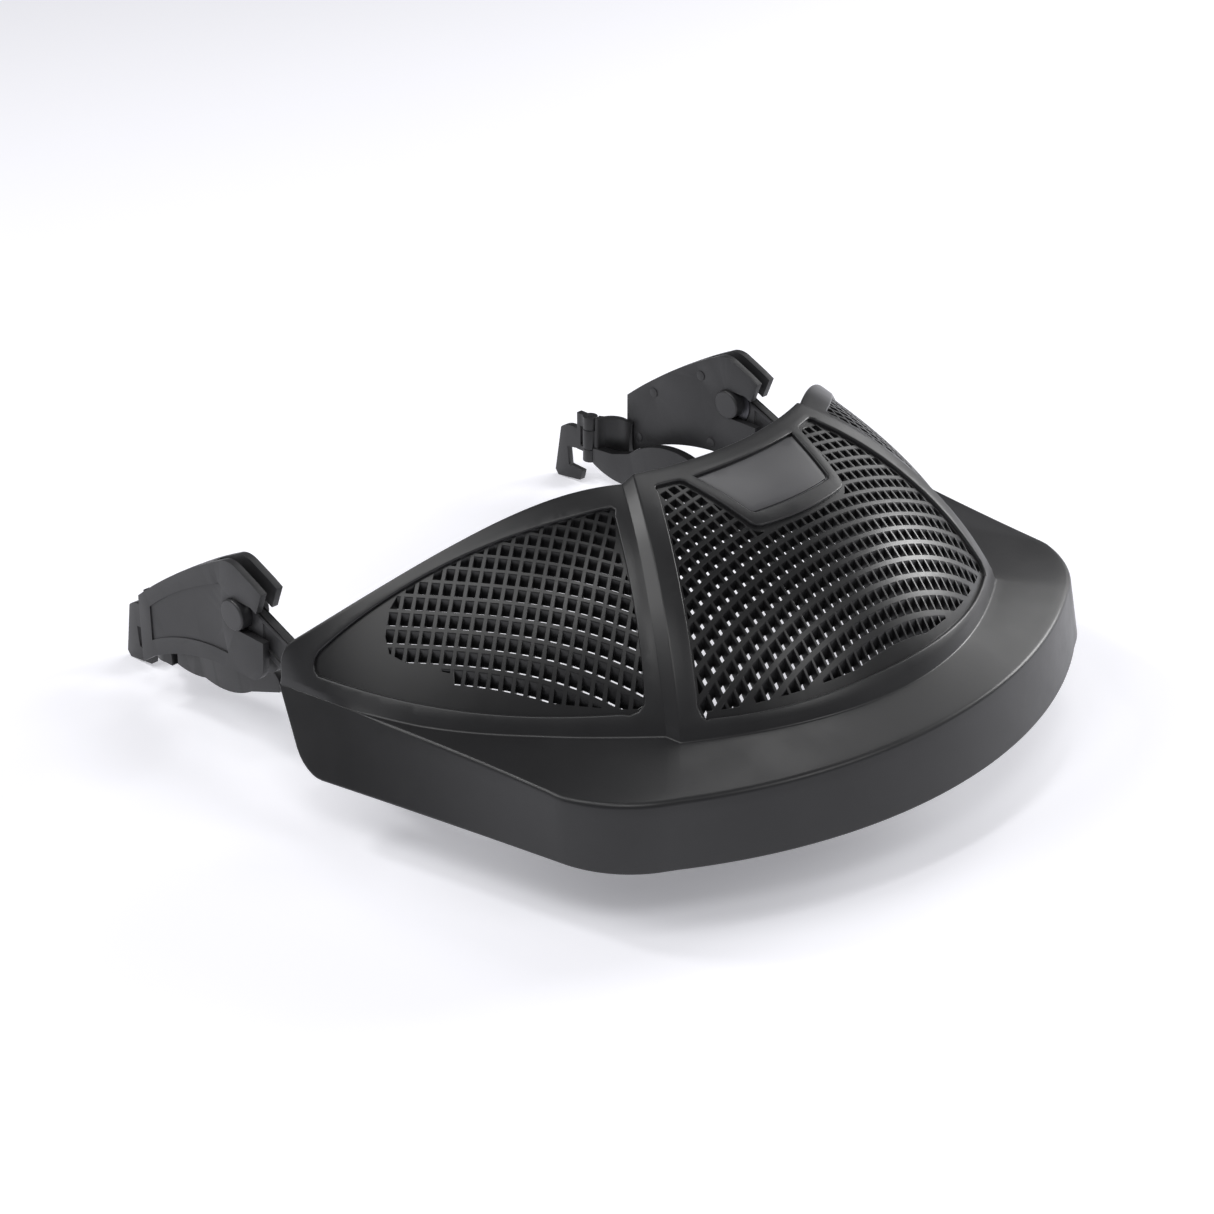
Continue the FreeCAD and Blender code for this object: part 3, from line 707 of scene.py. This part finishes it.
def skin_columns():
    """Foot and strip-top points round the left half, from the rear corner to the middle.

    The last two items are the strip top's parameters on the side and on the centre surface.
    """
    foot_lines, u_foot, w_foot = ridge_profile(np.zeros(1))
    ridge_v = low_share(section_length(centre_surface, np.ones(1)))
    strip_lines, u_strip, w_strip = ridge_profile(ridge_v)

    w = np.linspace(1.0, w_foot[0], SIDE_COLUMNS)
    v_side = low_share(section_length(side_surface, w))
    v_side[-1] = ridge_v[0]
    w_top = w.copy()
    w_top[-1] = w_strip[0]

    u = np.linspace(u_foot[0], 0.0, CENTRE_COLUMNS)
    v_centre = low_share(section_length(centre_surface, u))
    v_centre[0] = ridge_v[0]
    u_top = u.copy()
    u_top[0] = u_strip[0]

    ridge_foot = [item[0] for item in foot_lines][::-1]
    ridge_top = [item[0] for item in strip_lines][::-1]
    foot = np.concatenate([side_surface(w, 0 * w), ridge_foot[1:-1], centre_surface(u, 0 * u)])
    top = np.concatenate([
        side_surface(w_top, v_side), ridge_top[1:-1], centre_surface(u_top, v_centre)
    ])
    return foot, top, (w_top, v_side), (u_top, v_centre)


# line beside the crown's foot to which the brim is ruled, from the rear corner to the front
BRIM_INNER = [
    (120.5, 4.0, 20.3),
    (112.8, -30.0, 20.8),
    (95.5, -69.0, 23.8),
    (83.8, -84.6, 25.0),
    (71.4, -101.4, 26.0),
]
BRIM_INNER_FRONT = (0.0, -128.0, 26.2)
BRIM_DOMAIN = ((0.0, 1.0), (0.0, 1.0))
LEAST_BRIM = 0.03


def brim_inner_at(s):
    """Line to which the brim is ruled, as a function of s."""
    plan = outline_at([point[:2] for point in BRIM_INNER], BRIM_INNER_FRONT[:2], s)
    knots = [
        0.0, CORNER_START / 2, CORNER_START, (CORNER_START + CORNER_END) / 2, CORNER_END, 1.0
    ]
    heights = [point[2] for point in BRIM_INNER] + [BRIM_INNER_FRONT[2]]
    return np.column_stack([plan, np.interp(s, knots, heights)])


def brim_surface(s, t):
    """Ruled brim, from the skirt's edge at t = 0 to the line beside the crown at 1."""
    edge = skirt_point(s, SKIRT_HEIGHT)
    return edge + (brim_inner_at(s) - edge) * t[:, None]


def on_brim(foot):
    """Where each foot point stands on the brim: s, and the point itself."""
    s, t = params_of(brim_surface, BRIM_DOMAIN, foot[:, PLAN], PLAN, 0.0)
    s = np.maximum.accumulate(np.clip(s, 0.0, 1.0))
    s[0], s[-1] = 0.0, 1.0
    return s, brim_surface(s, np.maximum(t, LEAST_BRIM))


SKIRT_ROWS = [0.0, 0.25, 0.8, 1.7, 2.9, 4.3, 6.0, 8.5, 11.0, 13.5, 16.0]
BRIM_BANDS = 8
EDGE_STEPS = 6


def base_sweep(patch, side):
    """Skirt, rounded edge, brim and the crown's rounded foot for one half."""
    foot, top, _, _ = skin_columns()
    s, foot = on_brim(foot)
    skirt = [skirt_point(rear_shift(s, height), height) for height in SKIRT_ROWS]
    edge = skirt_point(s, SKIRT_HEIGHT)
    corners = [skirt[-1], edge, foot, top]
    line = rounded(corners, [EDGE_ROUND, FOOT_ROUND], EDGE_STEPS)[1:]
    brim_start, brim_end = line[EDGE_STEPS], line[EDGE_STEPS + 1]
    brim = [
        brim_start + (brim_end - brim_start) * k / BRIM_BANDS for k in range(1, BRIM_BANDS)
    ]
    rows = skirt + line[:EDGE_STEPS + 1] + brim + line[EDGE_STEPS + 1:]
    if side == RIGHT:
        rows = [flip(row) for row in rows]
    patch.add_rows(rows)


# rows of points from the strip along the crown's foot to the crown's top edge
CROWN_ROWS = 48


def ridge_sweep(patch, side):
    """Rounded ridge of one half, above the strip along the crown's foot."""
    low = low_share(section_length(centre_surface, np.ones(1)))[0]
    rows = ridge_profile(np.linspace(low, 1.0, CROWN_ROWS))[0]
    if side == RIGHT:
        rows = [flip(row) for row in rows]
    patch.add_rows(rows)


# about how many millimetres one unit of a surface's parameters spans
CENTRE_SCALE = np.array([65.0, 88.0])
SIDE_SCALE = np.array([128.0, 62.0])
GRID = 2.6
GRID_CLEARANCE = 1.25


def add_panel(patch, surface, scale, outer, holes, mirror=False):
    """Patch of a surface inside an outline and outside its holes, all in parameters."""
    loops = [loop * scale for loop in [outer] + holes]
    inner = grid_inside(loops, GRID, GRID_CLEARANCE)
    points, faces = triangulate(loops[0], loops[1:], inner)
    places = surface(points[:, 0] / scale[0], points[:, 1] / scale[1])
    if mirror:
        places = flip(places)
    patch.add(places, faces)


def window_params(surface, domain, outline, axes, growth):
    """Window's edge on a surface, grown by a distance, in parameters."""
    points = grown(sample_outline(*outline), growth)
    return np.column_stack(params_of(surface, domain, points, axes, 0.0))


TOP_COLUMNS_CENTRE = 24
TOP_COLUMNS_SIDE = 60


def centre_panel(patch):
    """Crown's frame between the ridges, with the windows of the grille and the badge."""
    _, _, _, (u_low, v_low) = skin_columns()
    v = np.linspace(v_low[0], 1.0, CROWN_ROWS)
    u_side = ridge_profile(v)[1]
    u_top = np.linspace(u_side[-1], 0, TOP_COLUMNS_CENTRE)
    half = np.concatenate([
        np.column_stack([u_low[::-1], v_low[::-1]]),
        np.column_stack([u_side, v])[1:],
        np.column_stack([u_top, np.ones(TOP_COLUMNS_CENTRE)])[1:],
    ])
    mirrored = (half * np.array([-1.0, 1.0]))[1:-1][::-1]
    outer = np.concatenate([half, mirrored])
    holes = [
        window_params(centre_surface, CENTRE_DOMAIN, outline, PLAN, LIP)
        for outline in (CENTRE_WINDOW, BADGE_WINDOW)
    ]
    add_panel(patch, centre_surface, CENTRE_SCALE, outer, holes)


# rounding of the panel's top rear corner, in the side surface's parameters
REAR_TOP_ROUND = (0.035, 0.4)
REAR_TOP_POINTS = 7
REAR_POINTS = 4


def side_panel(patch, side):
    """Crown's frame on one side, with the grille's window."""
    _, _, (w_low, v_low), _ = skin_columns()
    v = np.linspace(v_low[-1], 1.0, CROWN_ROWS)
    w_front = ridge_profile(v)[2]
    round_w, round_v = REAR_TOP_ROUND
    w_top = np.linspace(1.0 - round_w, w_front[-1], TOP_COLUMNS_SIDE)
    turn = np.linspace(0.0, math.pi / 2, REAR_TOP_POINTS)
    corner = np.column_stack([
        1.0 - round_w + round_w * np.cos(turn), 1.0 - round_v + round_v * np.sin(turn)
    ])
    rear_v = np.linspace(v_low[0], 1.0 - round_v, REAR_POINTS)
    outer = np.concatenate([
        np.column_stack([w_low, v_low])[::-1],
        np.column_stack([np.ones(REAR_POINTS), rear_v])[1:-1],
        corner,
        np.column_stack([w_top, np.ones(TOP_COLUMNS_SIDE)])[1:],
        np.column_stack([w_front, v])[::-1][1:-1],
    ])
    hole = window_params(side_surface, SIDE_DOMAIN, SIDE_WINDOW, PROFILE, LIP)
    add_panel(patch, side_surface, SIDE_SCALE, outer, [hole], mirror=side == RIGHT)


def carrier_shell():
    """Skirt, brim and crown frame as one moulded wall."""
    patch = Patchwork()
    for _, side in SIDES:
        base_sweep(patch, side)
        ridge_sweep(patch, side)
        side_panel(patch, side)
    centre_panel(patch)
    work = patch.mesh("carrier_skin")
    total = sum(face.normal.z * face.calc_area() for face in work.faces)
    if total < 0:
        bmesh.ops.reverse_faces(work, faces=work.faces)
    piece = to_object(thicken(work, WALL, LIP), "shell", shell_plastic)
    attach(piece, "carrier")
    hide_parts("carrier_shell")


# ------------------------------------------------------------------ grilles

GRILLE_DEPTH = 1.2
GRILLE_PLATE = 2.8
GRILLE_SHARP_ANGLE = 12.0
# how far a grille reaches under the frame of its window
TUCK = 0.9
CHAMFER = 0.14
CHAMFER_DROP = 1.3
GRILLE_GRID = 2.2
GRILLE_CLEARANCE = 1.1
# the smallest hole, in square millimetres, the shortest edge, and the flattest corner's sine
SMALLEST_HOLE = 0.5
SHORTEST_EDGE = 0.15
FLATTEST_CORNER = 0.05
# a hole with no border point this close isn't cut by the border
HOLE_REACH = 6.0


def clip_polygon(polygon, start, end):
    """Part of a polygon to the left of the line from start to end. Points are (x, y) pairs."""
    result = []
    edge_x, edge_y = end[0] - start[0], end[1] - start[1]
    offsets = [edge_x * (y - start[1]) - edge_y * (x - start[0]) for x, y in polygon]
    for index, (x, y) in enumerate(polygon):
        following = (index + 1) % len(polygon)
        here, there = offsets[index], offsets[following]
        if here >= 0:
            result.append((x, y))
        if here * there < 0:
            share = here / (here - there)
            next_x, next_y = polygon[following]
            result.append((x + (next_x - x) * share, y + (next_y - y) * share))
    return result


def hole_in_border(border, centre, half_first, half_second):
    """Four-sided hole, cut off where it crosses the border of the holed area."""
    corners = [
        centre + a * half_first + b * half_second for a, b in ((-1, -1), (1, -1), (1, 1), (-1, 1))
    ]
    if area_of(corners) < 0:
        corners = corners[::-1]
    near = (abs(border - centre) < HOLE_REACH).all(axis=1).any()
    if not near:
        return np.array(corners) if inside(border, centre) else None
    polygon = [tuple(point) for point in border.tolist()]
    for index in range(4):
        polygon = clip_polygon(polygon, corners[index], corners[(index + 1) % 4])
        if len(polygon) < 3:
            return None
    polygon = tidy_polygon(np.array(polygon))
    if len(polygon) < 3 or abs(area_of(polygon)) < SMALLEST_HOLE:
        return None
    return polygon


def tidy_polygon(polygon):
    """Polygon without repeated or nearly straight corners."""
    points = []
    for point in polygon:
        if not points or np.linalg.norm(point - points[-1]) > SHORTEST_EDGE:
            points.append(point)
    if len(points) > 1 and np.linalg.norm(points[0] - points[-1]) < SHORTEST_EDGE:
        points.pop()
    points = np.array(points)
    if len(points) < 3:
        return points
    before = points - np.roll(points, 1, axis=0)
    after = np.roll(points, -1, axis=0) - points
    cross = before[:, 0] * after[:, 1] - before[:, 1] * after[:, 0]
    sine = abs(cross) / (np.linalg.norm(before, axis=1) * np.linalg.norm(after, axis=1))
    return points[sine > FLATTEST_CORNER]


def inside(border, point):
    """True if a point is inside a border."""
    x, y = border.T
    x_next, y_next = np.roll(x, -1), np.roll(y, -1)
    crosses = (y > point[1]) != (y_next > point[1])
    with np.errstate(divide="ignore", invalid="ignore"):
        at = x + (point[1] - y) * (x_next - x) / (y_next - y)
    return np.count_nonzero(crosses & (point[0] < at)) % 2 == 1


def lowered(surface, domain, points, depth):
    """Points at a depth under a surface that have the given plan places."""
    a, b = params_of(surface, domain, points, PLAN, depth)
    return sunk(surface, a, b, depth)


def grille(name, surface, domain, edge_params, border, centres, hole, node, side):
    """Curved plate with upright four-sided holes. All plan points are (X, Y)."""
    polygons = [hole_in_border(border, centre, *hole) for centre in centres]
    holes = [polygon for polygon in polygons if polygon is not None]
    mouths = [grown(polygon, CHAMFER) for polygon in holes]
    upper_edge = sunk(surface, *edge_params.T, GRILLE_DEPTH)
    rim = upper_edge[:, PLAN]
    fill = grid_inside([rim] + mouths, GRILLE_GRID, GRILLE_CLEARANCE)
    fill = fill[np.array([inside(rim, point) for point in fill])]

    patch = Patchwork()
    underside = GRILLE_DEPTH + GRILLE_PLATE
    points, faces = triangulate(rim, mouths, fill)
    patch.add(lowered(surface, domain, points, GRILLE_DEPTH), faces)
    points, faces = triangulate(rim, holes, fill)
    patch.add(lowered(surface, domain, points, underside), [face[::-1] for face in faces])
    for mouth, polygon in zip(mouths, holes):
        count = len(polygon)
        face = lowered(surface, domain, np.concatenate([mouth, polygon]), GRILLE_DEPTH)
        throat = face[count:].copy()
        throat[:, 2] -= CHAMFER * CHAMFER_DROP
        floor_ring = lowered(surface, domain, polygon, underside)
        patch.add_rows([face[:count], throat, floor_ring], closed=True)
    patch.add_rows([upper_edge, lowered(surface, domain, rim, underside)], closed=True)
    if side == RIGHT:
        patch.points = flip(np.array(patch.points)).tolist()
    piece = to_object(patch.mesh(name), name, grille_plastic, GRILLE_SHARP_ANGLE)
    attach(piece, "carrier")
    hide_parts(node)


CENTRE_PITCH_X = 3.56
CENTRE_PITCH_Y = 4.0
CENTRE_FIRST_Y = -57.2
CENTRE_HALF_COLUMNS = 19
CENTRE_ROWS = 17
CENTRE_HOLE = (2.7, 2.68)
HOLE_MARGIN = 0.7
BORDER_SPACING = 2.5
# front edge of the holed area, behind a plain margin
HOLES_FRONT = [(63.2, -105.4), (0.0, -123.6), (-63.2, -105.4)]


def centre_grille():
    """Grille between the ridges, on a square lattice."""
    edge = window_params(centre_surface, CENTRE_DOMAIN, CENTRE_WINDOW, PLAN, TUCK)
    border = grown(sample_outline(*CENTRE_WINDOW, spacing=BORDER_SPACING), -HOLE_MARGIN)
    front = np.array([HOLES_FRONT[0]] + arc_through(*HOLES_FRONT, BORDER_SPACING))
    limit = np.interp(border[:, 0], front[::-1, 0], front[::-1, 1])
    behind_front = abs(border[:, 0]) < HOLES_FRONT[0][0]
    border[:, 1] = np.where(behind_front, np.maximum(border[:, 1], limit), border[:, 1])
    centres = [
        np.array([(column + 0.5) * CENTRE_PITCH_X, CENTRE_FIRST_Y - CENTRE_PITCH_Y * row])
        for row in range(CENTRE_ROWS)
        for column in range(-CENTRE_HALF_COLUMNS, CENTRE_HALF_COLUMNS)
    ]
    hole = (np.array([CENTRE_HOLE[0] / 2, 0.0]), np.array([0.0, CENTRE_HOLE[1] / 2]))
    grille(
        "grille_centre", centre_surface, CENTRE_DOMAIN, edge, border, centres, hole,
        "centre_grille", LEFT,
    )


# rear edge of a side grille's holed area, as (Y, Z), from the top to the bottom
HOLES_REAR = [
    (-13.3, 42.4), (-19.8, 35.8), (-27.2, 34.4), (-40.9, 34.7), (-42.9, 31.5), (-48.4, 26.8),
]
# a box that holds the rest of the area, in front of that edge
HOLES_BOX = [(-60.0, 20.0), (-110.0, 20.0), (-110.0, 80.0), (-13.3, 80.0)]
SIDE_BORDER_SPACING = 2.0
# in plan, on the left: rows turn from the front to the right, columns from the right to the rear
SIDE_FIRST_HOLE = np.array([95.3, -56.6])
SIDE_ROW_TURN = math.radians(25.1)
SIDE_COLUMN_TURN = math.radians(31.6)
SIDE_ROW_PITCH = 3.936
SIDE_COLUMN_PITCH = 3.442
SIDE_HOLE = (2.6, 2.5)
SIDE_ROWS = range(-6, 20)
SIDE_HOLE_COLUMNS = range(-24, 24)


def side_border():
    """Holed area of a side grille, in plan."""
    window = grown(sample_outline(*SIDE_WINDOW, spacing=BORDER_SPACING), -HOLE_MARGIN)
    if area_of(window) < 0:
        window = window[::-1]
    area = HOLES_REAR + HOLES_BOX
    if area_of(area) < 0:
        area = area[::-1]
    for index, corner in enumerate(window):
        area = clip_polygon(area, corner, window[(index + 1) % len(window)])
    profile = sample_outline(area[0], area[1:] + area[:1], spacing=SIDE_BORDER_SPACING)
    w, v = params_of(side_surface, SIDE_DOMAIN, profile, PROFILE, GRILLE_DEPTH)
    return sunk(side_surface, w, v, GRILLE_DEPTH)[:, PLAN]


def side_grille(name, node, side):
    """Grille of one side, on a leaning lattice."""
    edge = window_params(side_surface, SIDE_DOMAIN, SIDE_WINDOW, PROFILE, TUCK)
    along = np.array([-math.sin(SIDE_ROW_TURN), -math.cos(SIDE_ROW_TURN)])
    inward = np.array([-math.cos(SIDE_COLUMN_TURN), math.sin(SIDE_COLUMN_TURN)])
    centres = [
        SIDE_FIRST_HOLE + along * column * SIDE_ROW_PITCH + inward * row * SIDE_COLUMN_PITCH
        for row in SIDE_ROWS
        for column in SIDE_HOLE_COLUMNS
    ]
    hole = (along * SIDE_HOLE[0] / 2, inward * SIDE_HOLE[1] / 2)
    grille(name, side_surface, SIDE_DOMAIN, edge, side_border(), centres, hole, node, side)


# ------------------------------------------------------------------ badge

BADGE_DEPTH = 0.8
BADGE_GAP = 0.85
BADGE_PLATE = 1.6
BADGE_LIP = 0.35
BADGE_GRID = 2.4
BADGE_CLEARANCE = 1.2


def badge():
    """Blank plate in the crown's top frame."""
    patch = Patchwork()
    rim = window_params(centre_surface, CENTRE_DOMAIN, BADGE_WINDOW, PLAN, -BADGE_GAP)
    outline = rim * CENTRE_SCALE
    points, faces = triangulate(outline, [], grid_inside([outline], BADGE_GRID, BADGE_CLEARANCE))
    a, b = (points / CENTRE_SCALE).T
    patch.add(sunk(centre_surface, a, b, BADGE_DEPTH), faces)
    work = patch.mesh("badge")
    if sum(face.normal.z for face in work.faces) < 0:
        bmesh.ops.reverse_faces(work, faces=work.faces)
    piece = to_object(thicken(work, BADGE_PLATE, BADGE_LIP), "badge", badge_plastic)
    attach(piece, "carrier")
    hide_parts("badge_plate")


# ------------------------------------------------------------------ CAD nodes that stay


ROUNDING = {
    "outer_cover": 0.7, "inner_plate": 0.5, "link_arm": 0.6, "slot_tongue": 0.6,
    "spring_clip": 0.5, "stake_posts": 0.15, "pivot_pin": 0.05, "arm_rivets": 0.3,
    "visor_studs": 0.3,
}
ROUNDING_SEGMENTS = 3
SHARP_EDGE = math.radians(32)


def soften(node, width):
    """Round a CAD node's sharp edges with modifiers."""
    weld = node.modifiers.new("weld", "WELD")
    weld.merge_threshold = WELD * MM
    bevel = node.modifiers.new("round", "BEVEL")
    bevel.width = width * MM
    bevel.segments = ROUNDING_SEGMENTS
    bevel.limit_method = "ANGLE"
    bevel.angle_limit = SHARP_EDGE
    bevel.harden_normals = True
    for polygon in node.data.polygons:
        polygon.use_smooth = True


def finish_nodes():
    """Material, slot and rounded edges for the CAD nodes that stay."""
    slot_of = {item["node"]: item["material_slot"] for item in frame["record"]["subparts"]}
    for name, node in nodes.items():
        if node.hide_render:
            continue
        node.data.materials.clear()
        node.data.materials.append(FINISH[slot_of[name]])
        for start, width in ROUNDING.items():
            if name.startswith(start):
                soften(node, width)


# ------------------------------------------------------------------ stage, light and camera


# the floor glows faintly, which keeps the shadows soft
FLOOR_GLOW = (0.93, 0.93, 0.98, 1.0)
FLOOR_GLOW_STRENGTH = 0.26
FLOOR_DARK = (0.93, 0.93, 0.97)
FLOOR_LIGHT = (0.95, 0.95, 0.99)
FLOOR_ROUGHNESS = 0.9
FLOOR_SIZE = 6.0


def floor():
    """Plain pale sheet under the object."""
    data = bpy.data.meshes.new("floor")
    work = bmesh.new()
    bmesh.ops.create_grid(work, x_segments=2, y_segments=2, size=FLOOR_SIZE)
    work.to_mesh(data)
    work.free()
    material, tree, shader, place = node_material("floor_paper")
    shade = mapped(tree, noise(tree, place, 2.0), 0.3, 0.7)
    tree.links.new(colour_mix(tree, shade, FLOOR_DARK, FLOOR_LIGHT), shader.inputs["Base Color"])
    shader.inputs["Roughness"].default_value = FLOOR_ROUGHNESS
    shader.inputs["Emission Color"].default_value = FLOOR_GLOW
    shader.inputs["Emission Strength"].default_value = FLOOR_GLOW_STRENGTH
    data.materials.append(material)
    piece = bpy.data.objects.new("floor", data)
    bpy.context.scene.collection.objects.link(piece)


# Azimuth 0 is the front and 90 the wearer's left.
AIM = Vector((0.0, -0.04, 0.06))
LAMP_DISTANCE = 1.3
LAMPS = [
    # name, azimuth, elevation, width, height, power
    ("far_side", 75, 18, 0.42, 0.42, 7.0),
    ("far_rear", 97, 26, 0.5, 0.6, 2.6),
    ("rear_high", 112, 58, 0.42, 0.42, 1.4),
    ("near_rear", -118, 40, 0.42, 0.7, 3.4),
    ("near_edge", -150, 45, 0.18, 0.18, 2.6),
    ("near_strip", -91, 62, 0.12, 0.8, 2.6),
    ("near_front", -45, 52, 0.42, 0.3, 2.2),
    ("front", 15, 35, 0.42, 0.42, 2.0),
]


def direction(azimuth, elevation):
    """Unit vector from the object towards an azimuth and an elevation, in degrees."""
    turn, lift = math.radians(azimuth), math.radians(elevation)
    return Vector((
        math.sin(turn) * math.cos(lift), -math.cos(turn) * math.cos(lift), math.sin(lift)
    ))


def softbox(name, azimuth, elevation, width, height, power):
    """Rectangular lamp that looks at the object."""
    away = direction(azimuth, elevation)
    light = bpy.data.lights.new(name, "AREA")
    light.shape = "RECTANGLE"
    light.size, light.size_y = width, height
    light.energy = power
    lamp = bpy.data.objects.new(name, light)
    lamp.location = AIM + away * LAMP_DISTANCE
    lamp.rotation_euler = away.to_track_quat("Z", "Y").to_euler()
    bpy.context.scene.collection.objects.link(lamp)


WORLD_COLOUR = (0.94, 0.94, 0.98, 1.0)
WORLD_STRENGTH = 0.17


def world_light():
    """Even light from all round, shown with the Standard view transform."""
    world = bpy.data.worlds.new("studio")
    world.use_nodes = True
    background = world.node_tree.nodes["Background"]
    background.inputs["Color"].default_value = WORLD_COLOUR
    background.inputs["Strength"].default_value = WORLD_STRENGTH
    bpy.context.scene.world = world
    bpy.context.scene.view_settings.view_transform = "Standard"


CAMERA_PLACE = (-0.6125, -0.5990, 0.4859)
CAMERA_AZIMUTH = -45.13
CAMERA_ELEVATION = 27.96
CAMERA_LENS = 88.57
CAMERA_SENSOR = 36.0


def camera():
    """Camera in front, on the wearer's right, that looks down at the object."""
    data = bpy.data.cameras.new("photo_camera")
    data.lens = CAMERA_LENS
    data.sensor_width = CAMERA_SENSOR
    data.clip_start = 0.01
    item = bpy.data.objects.new("photo_camera", data)
    item.location = CAMERA_PLACE
    back = direction(CAMERA_AZIMUTH, CAMERA_ELEVATION)
    item.rotation_euler = back.to_track_quat("Z", "Y").to_euler()
    bpy.context.scene.collection.objects.link(item)
    bpy.context.scene.camera = item


carrier_shell()
centre_grille()
for word, side in SIDES:
    side_grille("grille_" + word, "side_grille_" + word, side)
badge()
finish_nodes()
floor()
world_light()
for lamp in LAMPS:
    softbox(*lamp)
camera()
